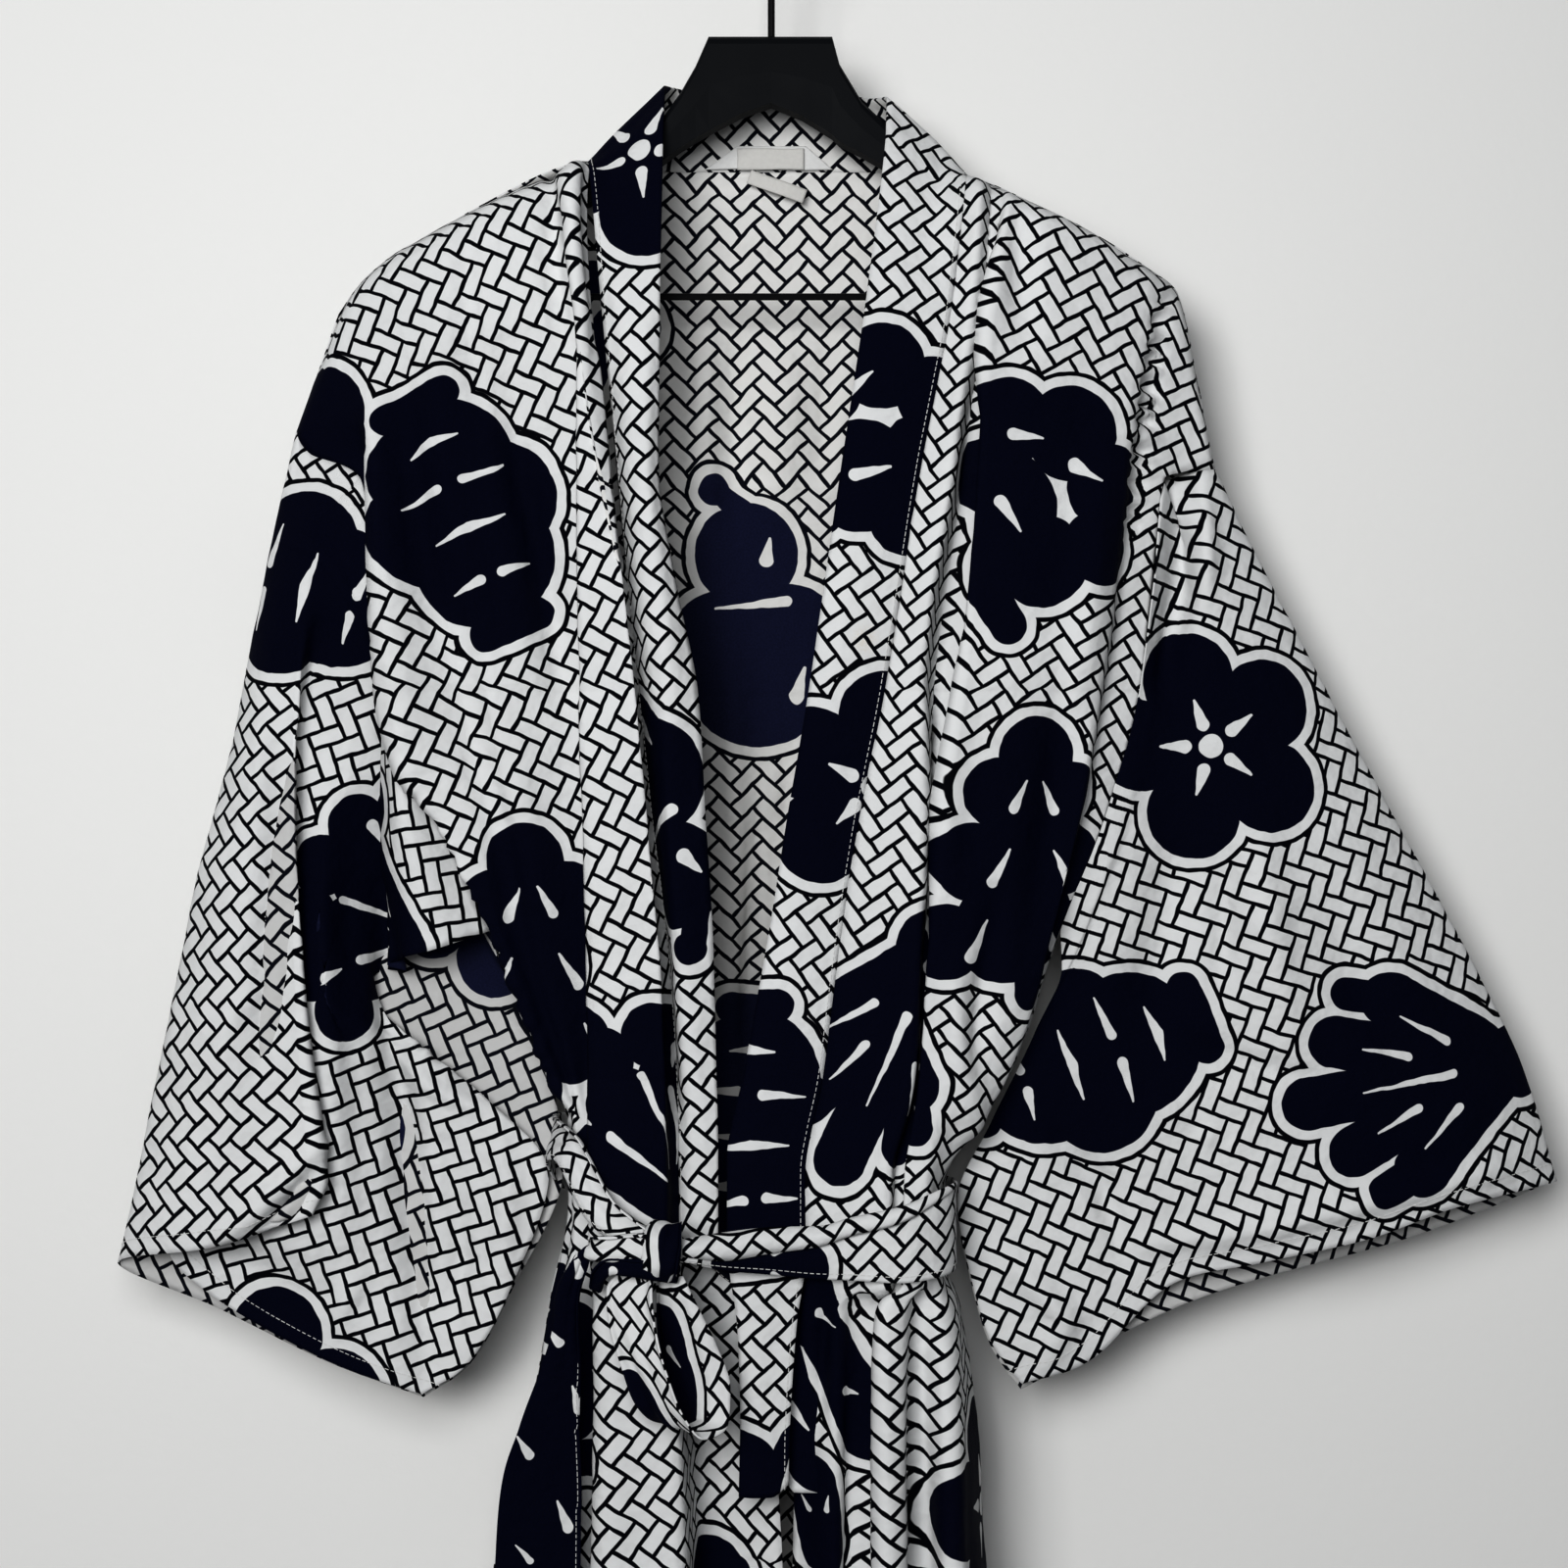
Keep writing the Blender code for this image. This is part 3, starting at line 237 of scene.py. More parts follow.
BACK_FOLDS = {
    "side_left": (-258, (-248, 6), (-226, 13), (-207, 16), (-180, 8), (-152, -5), (-122, -8),
                  (-110, -3), (-120, -1), (-130, 1), (-149, 4), (-172, 7)),
    "lap_left": (-244, (-237, 16), (-222, 22), (-202, 28), (-175, 20), (-149, 9), (-120, 8),
                 (-109, 10), (-117, 10), (-126, 12), (-145, 16), (-167, 20)),
    "wing_left": (-229, (-221, 22), (-212, 28), (-192, 33), (-170, 30), (-146, 25), (-117, 23),
                  (-104, 22), (-110, 22), (-119, 24), (-137, 28), (-158, 32)),
    "blade_left": (-180, (-174, 32), (-170, 36), (-155, 40), (-140, 40), (-120, 38), (-95, 36),
                   (-82, 33), (-86, 35), (-94, 38), (-106, 41), (-120, 45)),
    "neck_left": (-101, (-96, 36), (-92, 40), (-83, 45), (-77, 46), (-68, 47), (-54, 45),
                  (-46, 40), (-48, 41), (-52, 42), (-60, 44), (-72, 47)),
    "nape_left": (-52, (-50, 38), (-48, 41), (-44, 44), (-41, 44), (-36, 42), (-28, 39),
                  (-26, 37), (-27, 36), (-30, 35), (-34, 36), (-40, 39)),
    "centre": (0, (0, 38), (0, 41), (0, 45), (0, 46), (-2, 47), (-4, 45),
               (-6, 40), (-6, 42), (-7, 45), (-8, 48), (-8, 51)),
    "nape_right": (56, (53, 38), (50, 41), (46, 44), (42, 44), (34, 41), (22, 38),
                   (14, 37), (15, 36), (16, 35), (18, 36), (22, 40)),
    "neck_right": (108, (103, 36), (98, 40), (88, 45), (80, 46), (68, 47), (50, 45),
                   (38, 40), (39, 41), (42, 42), (46, 45), (56, 48)),
    "blade_right": (172, (164, 31), (160, 35), (152, 39), (140, 40), (122, 38), (96, 36),
                    (72, 33), (76, 34), (80, 36), (86, 40), (104, 44)),
    "wing_right": (208, (200, 21), (198, 26), (186, 30), (170, 29), (150, 24), (124, 22),
                   (90, 20), (95, 21), (104, 22), (110, 26), (130, 30)),
    "lap_right": (219, (214, 14), (210, 20), (197, 24), (177, 18), (154, 9), (127, 8),
                  (93, 8), (100, 9), (109, 11), (115, 14), (134, 18)),
    "side_right": (241, (224, 6), (216, 12), (201, 15), (181, 8), (157, -4), (129, -7),
                   (94, -4), (101, -3), (111, -1), (116, 3), (136, 7)),
}
NAPE_Y = 31.0
NAPE_Z = -161.0

# Sleeve sections, from the armhole out to the cuff.  Each row is one section.  Its columns run
# from the top fold over the front layer to the lower edge; the armhole itself is the first.
SLEEVE_COLUMNS = [0.0, 2.0, 3.0, 3.5, 4.0, 5.0, 6.0]
SLEEVE_LEFT_FRONT = {
    "root_swell": [(-263, 1, -331), (-254, -5, -340), (-234, -11, -348), (-219, -12, -388),
                   (-209, -10, -454), (-196, -25, -519), (-182, -25, -590)],
    "root_edge": [(-268, 3, -351), (-258, -6, -358), (-246, -10, -362), (-228, -11, -393),
                  (-212, -2, -457), (-212, 0, -523), (-215, -2, -599)],
    "root_under": [(-272, 4, -367), (-260, -7, -372), (-248, -10, -377), (-226, -9, -408),
                   (-206, 8, -467), (-205, 11, -533), (-207, 11, -603)],
    "upper": [(-280, 4, -408), (-266, -10, -412), (-252, -12, -418), (-246, -3, -434),
              (-229, -2, -502), (-229, 2, -562), (-213, 6, -606)],
    "elbow": [(-292, 5, -469), (-272, -16, -475), (-255, -15, -480), (-264, -3, -494),
              (-243, -8, -543), (-243, -8, -602), (-199, 4, -634)],
    "fore": [(-311, 6, -544), (-280, -19, -550), (-254, -17, -558), (-280, -2, -571),
             (-250, -8, -615), (-222, -2, -652), (-156, 3, -672)],
    "wrist": [(-326, 6, -613), (-286, -20, -621), (-250, -18, -635), (-299, -1, -650),
              (-254, -6, -690), (-200, 4, -706), (-121, -1, -714)],
    "hand": [(-341, 7, -688), (-292, -21, -689), (-243, -18, -695), (-316, -1, -708),
             (-266, -4, -744), (-203, 4, -770), (-141, -3, -774)],
    "corner": [(-349, 7, -728), (-295, -21, -719), (-241, -17, -714), (-324, -1, -732),
               (-283, 7, -769), (-219, -1, -799), (-164, -2, -815)],
    "cuff": [(-357, 7, -763), (-298, -21, -749), (-247, -17, -733), (-328, -1, -754),
             (-304, 7, -782), (-243, 0, -814), (-190, -2, -833)],
}
SLEEVE_RIGHT_FRONT = {
    "root": [(261, 3, -370), (245, -8, -378), (230, -12, -389), (216, -10, -416),
             (200, -11, -485), (181, -12, -543), (157, -9, -601)],
    "upper": [(290, 4, -426), (266, -10, -443), (242, -13, -464), (216, -8, -496),
              (193, -9, -543), (165, -8, -596), (141, -6, -640)],
    "elbow": [(327, 5, -496), (295, -12, -517), (260, -14, -538), (222, -8, -570),
              (187, -8, -612), (150, -6, -649), (119, -4, -685)],
    "fore": [(365, 6, -565), (324, -13, -588), (281, -14, -612), (232, -9, -644),
             (182, -8, -676), (136, -6, -703), (101, -3, -727)],
    "wrist": [(400, 7, -632), (350, -13, -654), (300, -15, -675), (240, -10, -702),
              (187, -8, -726), (142, -5, -745), (108, -3, -767)],
    "corner": [(416, 7, -672), (363, -14, -691), (310, -15, -710), (251, -11, -731),
               (200, -8, -750), (154, -5, -780), (119, -3, -803)],
    "cuff": [(429, 7, -718), (373, -14, -728), (321, -15, -746), (266, -12, -759),
             (216, -8, -772), (174, -4, -813), (136, -2, -827)],
}
# The back layer of each sleeve: two inner columns and the lower edge, section by section
SLEEVE_BACK_COLUMNS = [0.0, 3.0, 4.0, 6.0]
SLEEVE_LEFT_BACK = {
    "root_swell": [(-240, 16, -358), (-212, 18, -464), (-150, 0, -590)],
    "root_edge": [(-243, 17, -372), (-212, 19, -474), (-148, 3, -598)],
    "root_under": [(-247, 18, -388), (-212, 19, -486), (-144, 6, -606)],
    "upper": [(-252, 19, -436), (-206, 19, -522), (-138, 9, -617)],
    "elbow": [(-258, 19, -501), (-199, 18, -575), (-129, 10, -641)],
    "fore": [(-269, 19, -577), (-198, 17, -634), (-119, 9, -669)],
    "wrist": [(-277, 19, -650), (-198, 15, -692), (-114, 4, -714)],
    "hand": [(-290, 18, -717), (-214, 15, -754), (-141, 5, -776)],
    "corner": [(-298, 17, -752), (-230, 13, -786), (-164, 6, -817)],
    "cuff": [(-303, 16, -790), (-243, 12, -818), (-190, 7, -836)],
}
SLEEVE_RIGHT_BACK = {
    "root": [(238, 16, -393), (209, 19, -482), (162, 3, -601)],
    "upper": [(260, 17, -458), (214, 18, -533), (143, 5, -642)],
    "elbow": [(288, 18, -528), (217, 17, -598), (120, 6, -688)],
    "fore": [(315, 18, -604), (217, 16, -668), (101, 4, -729)],
    "wrist": [(336, 17, -668), (233, 13, -716), (108, 2, -769)],
    "corner": [(344, 16, -706), (243, 11, -748), (119, 2, -806)],
    "cuff": [(352, 15, -750), (232, 8, -783), (136, 3, -831)],
}

# Neckband across its width: the middle, the outer crease and the free edge at each station from
# the shoulder to the knee, as (x, y), or (x, y, z) above the arm, where the stations aren't level.
# The seam side comes from the front itself.
BAND_LEFT = {
    "shoulder": [(-88, 0, -151), (-76, 1, -139), (-58, 3, -121)],
    "roll": [(-86, -12, -166), (-74, -12, -156), (-58, -11, -138)],
    "chest": [(-79, -33, -249), (-68, -34, -247), (-59, -33, -245)],
    "arm": [(-75, -34), (-66, -38), (-60, -32)],
    "bust": [(-62, -37), (-53, -41), (-39, -34)],
    "rib": [(-57, -35), (-52, -39), (-35, -35)],
    "armhole": [(-52, -36), (-46, -39), (-31, -35)],
    "midriff": [(-46, -35), (-40, -37), (-29, -35)],
    "waist": [(-42, -38), (-35, -39), (-28, -38)],
    "hip": [(2, -34), (10, -35), (20, -34)],
    "thigh": [(9, -35), (18, -36), (30, -34)],
    "knee": [(16, -35), (26, -36), (40, -35)],
}
BAND_RIGHT = {
    "shoulder": [(93, 0, -156), (80, 1, -143), (63, 3, -127)],
    "roll": [(90, -13, -176), (77, -13, -165), (62, -11, -148)],
    "chest": [(78, -35, -251), (64, -36, -249), (50, -34, -247)],
    "arm": [(64, -37), (50, -38), (37, -36)],
    "bust": [(45, -40), (32, -41), (20, -38)],
    "rib": [(34, -41), (22, -42), (9, -40)],
    "armhole": [(24, -43), (11, -44), (-1, -41)],
    "midriff": [(12, -46), (-2, -47), (-15, -44)],
    "waist": [(6, -49), (-9, -49), (-23, -47)],
    "hip": [(4, -47), (-7, -48), (-18, -45)],
    "thigh": [(1, -46), (-8, -47), (-16, -44)],
    "knee": [(-1, -44), (-10, -45), (-18, -43)],
}
# The same round the nape, by how far along the back's neckline from fold line to fold line
BAND_NAPE = {
    0.5: [(-74, 20, -146), (-64, 23, -132), (-50, 24, -117)],
    1.0: [(-50, 31, -148), (-44, 30, -133), (-38, 29, -116)],
    2.0: [(0, 32, -148), (0, 31, -133), (0, 31, -114)],
    3.0: [(53, 31, -149), (46, 30, -134), (40, 29, -118)],
    3.5: [(80, 20, -150), (68, 23, -137), (54, 24, -122)],
}
# How far down its stations the neckband ends, and the step between its control rows
BAND_END = 11.5
BAND_STEP = 0.5

# Tied strips.  Each row: x, y, z of the strip's middle, its width, how far its upper edge hangs
# folded over the front, how far its middle stands out, the turn of its way across (0 is straight
# down, 90 to the right), the turn of that way towards the front, and the height of its gathers
BELT_PATH = {
    "knot_right": (-47, -64, -744, 11, 7, 3, 0, 0, 0.6),
    "rolled": (-25, -59, -745, 19, 13, 3, 0, 0, 0.4),
    "opening": (0, -57, -745, 24, 12, 2, 0, 0, 0.2),
    "middle": (25, -56, -746, 27, 9, 2, 0, 0, 0.1),
    "flat": (42, -57, -744, 32, 8, 1, 0, 0, 0),
    "flat_right": (67, -57, -742, 39, 7, 1, 0, 0, 0),
    "turn_right": (88, -51, -737, 45, 4, 0, 0, 0, 0),
    "edge_right": (97, -38, -735, 46, 2, 0, 0, 0, 0),
    "side_right": (99, -14, -738, 46, 1, 0, 0, 0, 0),
    "hip_right": (99, 10, -740, 46, 1, 0, 0, 0, 0),
    "wing_right": (94, 26, -741, 46, 1, 0, 0, 0, 0),
    "back_right": (72, 40, -737, 46, 1, 0, 0, 0, 0),
    "spine_right": (38, 46, -731, 46, 1, 0, 0, 0, 0),
    "spine": (-4, 46, -724, 46, 1, 0, 0, 0, 0),
    "spine_left": (-46, 46, -717, 46, 1, 0, 0, 0, 0),
    "back_left": (-88, 39, -710, 46, 1, 0, 0, 0, 0),
    "wing_left": (-111, 26, -705, 44, 1, 1, 0, 0, 0.1),
    "side_left": (-117, 4, -700, 36, 0, 2, 0, 0, 0.3),
    "turn_left": (-116, -20, -694, 24, 0, 3, -18, 0, 0.4),
    "rise": (-108, -40, -694, 17, 0, 4, -48, 0, 0.4),
    "drop": (-90, -59, -722, 17, 0, 4, -52, 0, 0.4),
    "pull": (-78, -63, -732, 16, 0, 4, -40, 0, 0.4),
    "knot_left": (-64, -64, -740, 13, 0, 4, -32, 0, 0.5),
}
KNOT_WRAP = {
    "behind": (-55, -55, -733, 14, 0, 1, -90, 0, 0.5),
    "top": (-56, -64, -730, 18, 0, 2, -92, 0, 0.8),
    "front": (-57, -73, -738, 20, 0, 3, -96, 0, 0.9),
    "low": (-57, -74, -748, 19, 0, 3, -90, 0, 0.9),
    "foot": (-58, -67, -757, 16, 0, 2, -84, 0, 0.8),
    "under": (-58, -57, -754, 13, 0, 1, -84, 0, 0.5),
}
KNOT_PUFF = {
    "behind": (-95, -57, -745, 8, 0, 1, -20, 0, 0.6),
    "left": (-93, -65, -743, 12, 0, 4, -14, 0, 0.7),
    "middle": (-80, -71, -742, 14, 0, 4, 0, 0, 0.9),
    "right": (-67, -71, -741, 15, 0, 4, 8, 0, 0.8),
    "end": (-56, -64, -741, 11, 0, 2, 8, 0, 0.8),
}
KNOT_FOLD = {
    "start": (-91, -61, -764, 6, 0, 1, 70, 0, 0.4),
    "side": (-88, -68, -755, 8, 0, 3, 55, 0, 0.7),
    "turn": (-80, -72, -750, 9, 0, 3, 18, 0, 0.9),
    "middle": (-66, -73, -751, 9, 0, 3, -4, 0, 0.9),
    "end": (-48, -67, -755, 8, 0, 2, -12, 0, 0.6),
}
# Bow loop below the knot and the free tail
BOW_PATH = {
    "knot_front": (-68, -66, -752, 16, 0, 1, 90, 20, 0.6),
    "left_top": (-72, -73, -764, 26, 0, 3, 88, 22, 0.9),
    "left": (-70, -77, -782, 28, 0, 3, 86, 26, 1.0),
    "left_low": (-65, -79, -802, 27, 0, 3, 86, 30, 0.9),
    "foot_left": (-58, -79, -821, 30, 0, 2, 80, 32, 0.8),
    "foot": (-48, -75, -833, 34, 0, 1, 78, 32, 0.8),
    "foot_right": (-38, -67, -832, 36, 0, 2, 96, 28, 0.8),
    "right_low": (-37, -62, -817, 36, 0, 3, 104, 24, 0.8),
    "right": (-42, -60, -797, 32, 0, 3, 108, 22, 0.8),
    "right_top": (-48, -61, -776, 24, 0, 2, 104, 22, 0.7),
    "knot_back": (-52, -62, -757, 14, 0, 1, 96, 22, 0.5),
}
TAIL_PATH = {
    "knot": (-86, -62, -741, 9, 0, 2, -16, 0, 0.5),
    "over": (-95, -65, -743, 13, 0, 3, -44, 0, 0.8),
    "turn": (-102, -64, -753, 14, 0, 3, -66, 0, 0.9),
    "fall": (-106, -61, -768, 12, 0, 3, -84, 6, 0.7),
    "twist": (-107, -58, -784, 13, 0, 2, -90, 8, 0.4),
    "opening": (-110, -56, -806, 20, 0, 1, -92, 8, 0.2),
    "wide": (-116, -54, -838, 31, 0, 0, -94, 8, 0),
    "long": (-121, -51, -880, 43, 0, 0, -94, 7, 0),
    "end": (-124, -48, -985, 46, 0, 0, -92, 7, 0),
}

# ---------------------------------------------------------------- cut of the coat

def smooth_line(points, at):
    """A curve through `points` that never swings past them, read at fractional places."""
    points = np.asarray(points, float)
    at = np.asarray(at, float)
    rise = points[1:] - points[:-1]
    before = np.concatenate([rise[:1], rise])
    after = np.concatenate([rise, rise[-1:]])
    steepest = 2 * np.minimum(np.abs(before), np.abs(after))
    slope = np.clip((before + after) / 2, -steepest, steepest)
    slope[before * after <= 0] = 0
    span = np.clip(np.floor(at).astype(int), 0, len(points) - 2)
    part = (at - span).reshape((-1,) + (1,) * (points.ndim - 1))
    return ((2 * part ** 3 - 3 * part ** 2 + 1) * points[span]
            + (part ** 3 - 2 * part ** 2 + part) * slope[span]
            + (3 * part ** 2 - 2 * part ** 3) * points[span + 1]
            + (part ** 3 - part ** 2) * slope[span + 1])


def even_places(control, pitch):
    """Fractional places down the rows of control points, about `pitch` apart on the cloth."""
    spans = np.linalg.norm(np.diff(control, axis=0), axis=2).mean(axis=1)
    places = []
    for index, span in enumerate(spans):
        count = max(2, math.ceil(span / pitch))
        places.append(index + np.arange(count) / count)
    return np.concatenate(places + [[float(len(spans))]])


def read_sheet(control, rows, columns):
    """Points of a smooth sheet at fractional rows and columns of its control points."""
    down = smooth_line(control, rows)
    across = smooth_line(down.transpose(1, 0, 2), columns)
    return across.transpose(1, 0, 2)


def unit(vectors):
    return vectors / np.maximum(np.linalg.norm(vectors, axis=-1, keepdims=True), 1e-9)


def shoulder_height(x):
    return float(np.interp(x, [row[0] for row in SHOULDER], [row[1] for row in SHOULDER]))


def body_control(folds):
    """Control points of a body panel: one row for each station, one column for each fold line."""
    columns = []
    for fold in folds.values():
        x_top = fold[0]
        top = [x_top, 0.0, shoulder_height(x_top)]
        chest = [fold[1][0], fold[1][1], (top[2] + HEIGHTS["arm"]) / 2]
        roll_drop = min(ROLL_DROP, 0.3 * (top[2] - chest[2]))
        roll = [0.85 * top[0] + 0.15 * chest[0], 0.72 * chest[1], top[2] - roll_drop]
        column = [top, roll, chest]
        for (x, y), (station, z) in zip(fold[2:], HEIGHTS.items()):
            if station == "waist":
                middle = z + BELT_SLOPE * x
                column.append([x, y, middle + BELT_HALF])
                column.append([x, y, middle - BELT_HALF])
            else:
                column.append([x, y, z])
        columns.append(column)
    return np.array(columns, float).transpose(1, 0, 2)


def normals(points):
    """Outward way of a sheet at each of its points, by the turn from its rows to its columns."""
    down = np.gradient(points, axis=0)
    across = np.gradient(points, axis=1)
    return unit(np.cross(across, down))


def line_distance(x, z, line):
    """How far each point is from a line seen from the front, how far along it, and its length."""
    line = np.asarray(line, float)
    nearest = np.full(x.shape, 1e9)
    along = np.zeros(x.shape)
    lengths = np.hypot(*np.diff(line, axis=0).T)
    total = lengths.sum()
    walked = 0.0
    for (x0, z0), (x1, z1), length in zip(line, line[1:], lengths):
        part = ((x - x0) * (x1 - x0) + (z - z0) * (z1 - z0)) / length ** 2
        part = np.clip(part, 0, 1)
        gap = np.hypot(x - x0 - part * (x1 - x0), z - z0 - part * (z1 - z0))
        closer = gap < nearest
        nearest[closer] = gap[closer]
        along[closer] = (walked + part * length)[closer]
        walked += length
    return nearest, along, total


def press_creases(points, creases, where=1.0):
    """Soft ridges and troughs along lines seen from the front, with puckers where they are sewn."""
    out = normals(points)
    rise = np.zeros(points.shape[:2])
    for line, height, width, *pucker in creases:
        gap, along, length = line_distance(points[..., 0], points[..., 2], line)
        taper = np.sin(math.pi * np.clip(0.06 + 0.88 * along / length, 0, 1)) ** 0.7
        if pucker:
            turn = 2 * math.pi * along / pucker[0]
            taper *= 0.4 + 0.6 * np.sin(turn + 1.5 * np.sin(0.37 * turn))
        rise += height * taper * np.exp(-(gap / width) ** 2)
    return points + out * (rise * where)[..., None]


def crumple(points, flat, height, seed):
    """Small uneven waves all over, as washed cotton has."""
    draw = np.random.default_rng(seed)
    rise = np.zeros(points.shape[:2])
    for wave in (LONGEST_WAVE, 84, 62, 47, 36, 28, 22, 17):
        for _ in range(3):
            way = draw.uniform(0, math.pi)
            shift = draw.uniform(0, 2 * math.pi, 3)
            across = flat[..., 0] * math.cos(way) + flat[..., 1] * math.sin(way)
            beside = flat[..., 1] * math.cos(way) - flat[..., 0] * math.sin(way)
            bend = 0.35 * wave * np.sin(beside / (0.9 * wave) + shift[0])
            fade = 0.5 + 0.5 * np.sin(beside / (1.7 * wave) + shift[1])
            turn = 2 * math.pi * (across + bend) / wave + shift[2]
            rise += (wave / LONGEST_WAVE) ** 0.6 * fade * np.sin(turn)
    return points + normals(points) * (height * rise / 3)[..., None]


def grid_faces(rows, columns):
    """The four corners of each face of a grid of points numbered row by row."""
    number = np.arange(rows * columns).reshape(rows, columns)
    corners = [number[:-1, :-1], number[:-1, 1:], number[1:, 1:], number[1:, :-1]]
    return np.stack(corners, axis=-1).reshape(-1, 4)


def add_object(name, mesh):
    """A new object at the origin, unscaled."""
    added = bpy.data.objects.new(name, mesh)
    bpy.context.scene.collection.objects.link(added)
    return added


def lay_flat(points, up, turn=0.0, most_rows=64):
    """Where each point of a sheet lay when cut, in millimetres from its middle.

    The sheet is unrolled with as little stretch as it allows.  `up` is the grid's way along the
    grain: 0 for up its rows, 1 for along its columns.  `turn` is how far the cut was off it.
    """
    rows, columns = [np.unique(np.linspace(0, count - 1, min(count, most)).astype(int))
                     for count, most in zip(points.shape, (most_rows, MOST_COLUMNS))]
    coarse = points[np.ix_(rows, columns)]
    down, over = coarse.shape[:2]
    mesh = bpy.data.meshes.new("unrolled")
    mesh.from_pydata(coarse.reshape(-1, 3) * MM, [], grid_faces(down, over).tolist())
    mesh.uv_layers.new(name="flat")
    sheet = add_object("unrolled", mesh)
    bpy.ops.object.select_all(action="DESELECT")
    bpy.context.view_layer.objects.active = sheet
    sheet.select_set(True)
    bpy.ops.object.mode_set(mode="EDIT")
    bpy.ops.mesh.select_all(action="SELECT")
    bpy.ops.uv.unwrap(method="MINIMUM_STRETCH", iterations=24, no_flip=True)
    bpy.ops.object.mode_set(mode="OBJECT")
    corners = np.zeros(len(mesh.loops) * 2)
    mesh.uv_layers["flat"].data.foreach_get("uv", corners)
    owner = np.zeros(len(mesh.loops), int)
    mesh.loops.foreach_get("vertex_index", owner)
    flat = np.zeros((down * over, 2))
    flat[owner] = corners.reshape(-1, 2)
    flat = flat.reshape(down, over, 2)
    bpy.data.objects.remove(sheet)
    bpy.data.meshes.remove(mesh)

    def area(grid):
        one = grid[1:, 1:] - grid[:-1, :-1]
        other = grid[1:, :-1] - grid[:-1, 1:]
        if grid.shape[2] == 2:
            return np.abs(one[..., 0] * other[..., 1] - one[..., 1] * other[..., 0]).sum() / 2
        return np.linalg.norm(np.cross(one, other), axis=2).sum() / 2

    flat *= math.sqrt(area(coarse) / area(flat))
    down_step, over_step = [np.diff(flat, axis=axis).mean(axis=(0, 1)) for axis in (0, 1)]
    grain, weft = (-down_step, over_step) if up == 0 else (over_step, down_step)
    if grain[0] * weft[1] - grain[1] * weft[0] < 0:
        flat[..., 0] *= -1
        grain[0] *= -1
    angle = math.pi / 2 - math.atan2(grain[1], grain[0]) + math.radians(turn)
    cos, sin = math.cos(angle), math.sin(angle)
    flat -= flat.mean(axis=(0, 1))
    flat = np.stack([flat[..., 0] * cos - flat[..., 1] * sin,
                     flat[..., 0] * sin + flat[..., 1] * cos], axis=-1)
    wide = np.stack([[np.interp(np.arange(points.shape[1]), columns, row[:, axis]) for row in flat]
                     for axis in range(2)], axis=-1)
    return np.stack([[np.interp(np.arange(points.shape[0]), rows, column[:, axis])
                      for column in wide.transpose(1, 0, 2)] for axis in range(2)],
                    axis=-1).transpose(1, 0, 2)


# ---------------------------------------------------------------- finishes

class Shade:
    """A node's socket.  Arithmetic on it adds Math nodes to its tree."""

    def __init__(self, tree, socket):
        self.tree = tree
        self.socket = socket

    def make(self, kind, settings, values, output=0):
        """Any other node: its settings first, then the values or links of its sockets."""
        node = self.tree.nodes.new(kind)
        for name, value in settings.items():
            setattr(node, name, value)
        for place, value in values.items():
            if isinstance(value, Shade):
                self.tree.links.new(value.socket, node.inputs[place])
            else:
                node.inputs[place].default_value = value
        return Shade(self.tree, node.outputs[output])

    def blend(self, low, high):
        """The colour that is `low` where this value is 0 and `high` where it is 1."""
        return self.make("ShaderNodeMix", {"data_type": "RGBA"},
                         {0: self, 6: (*low, 1.0), 7: (*high, 1.0)}, 2)

    def scaled(self, by):
        return self.make("ShaderNodeVectorMath", {"operation": "SCALE"}, {0: self, "Scale": by})

    def math(self, operation, *values):
        return self.make("ShaderNodeMath", {"operation": operation}, dict(enumerate(values)))

    def vector(self, operation, *values, output=0):
        return self.make("ShaderNodeVectorMath", {"operation": operation},
                         dict(enumerate(values)), output)

    def __add__(self, other):
        return self.math("ADD", self, other)

    __radd__ = __add__

    def __sub__(self, other):
        return self.math("SUBTRACT", self, other)

    def __rsub__(self, other):
        return self.math("SUBTRACT", other, self)

    def __mul__(self, other):
        return self.math("MULTIPLY", self, other)

    __rmul__ = __mul__

    def __truediv__(self, other):
        return self.math("DIVIDE", self, other)

    def least(self, other):
        return self.math("MINIMUM", self, other)

    def most(self, other):
        return self.math("MAXIMUM", self, other)

    def inside(self, edge, soft=None):
        """1 where the value is under `edge`, fading over `soft`, or as an inked edge does."""
        soft = INK_EDGE if soft is None else soft
        values = {"Value": self, "From Min": edge - soft / 2, "From Max": edge + soft / 2,
                  "To Min": 1.0, "To Max": 0.0}
        return self.make("ShaderNodeMapRange", {"interpolation_type": "SMOOTHSTEP"}, values)

    def parts(self, other=1):
        """A vector's x and its y, or its z where `other` is 2."""
        across = self.make("ShaderNodeSeparateXYZ", {}, {0: self})
        return across, Shade(self.tree, across.socket.node.outputs[other])

    def mix(self, other, mask):
        """This colour with `other` laid over it where `mask` is 1."""
        return self.make("ShaderNodeMix", {"data_type": "RGBA"}, {0: mask, 6: self, 7: other}, 2)

    def noise(self, scale, detail=2.0, roughness=0.5, space="3D", output=0):
        values = {"Vector": self, "Scale": scale, "Detail": detail, "Roughness": roughness}
        return self.make("ShaderNodeTexNoise", {"noise_dimensions": space}, values, output)


# The print in millimetres: the side and line of a brick, how far a motif's outline and the white
# inside it reach, how soft an edge is, and how far and how often edges wander
BRICK = 8.8
BRICK_LINE = 2.1
OUTLINE = 7.6
HALO = 5.2
INK_EDGE = 0.35
WANDER = 1.3
WANDER_SCALE = 0.11
# A cut is wider than its table says where it starts, by the first, and narrows by the second
CUT_SWELL = 1.3
CUT_TAPER = 0.8
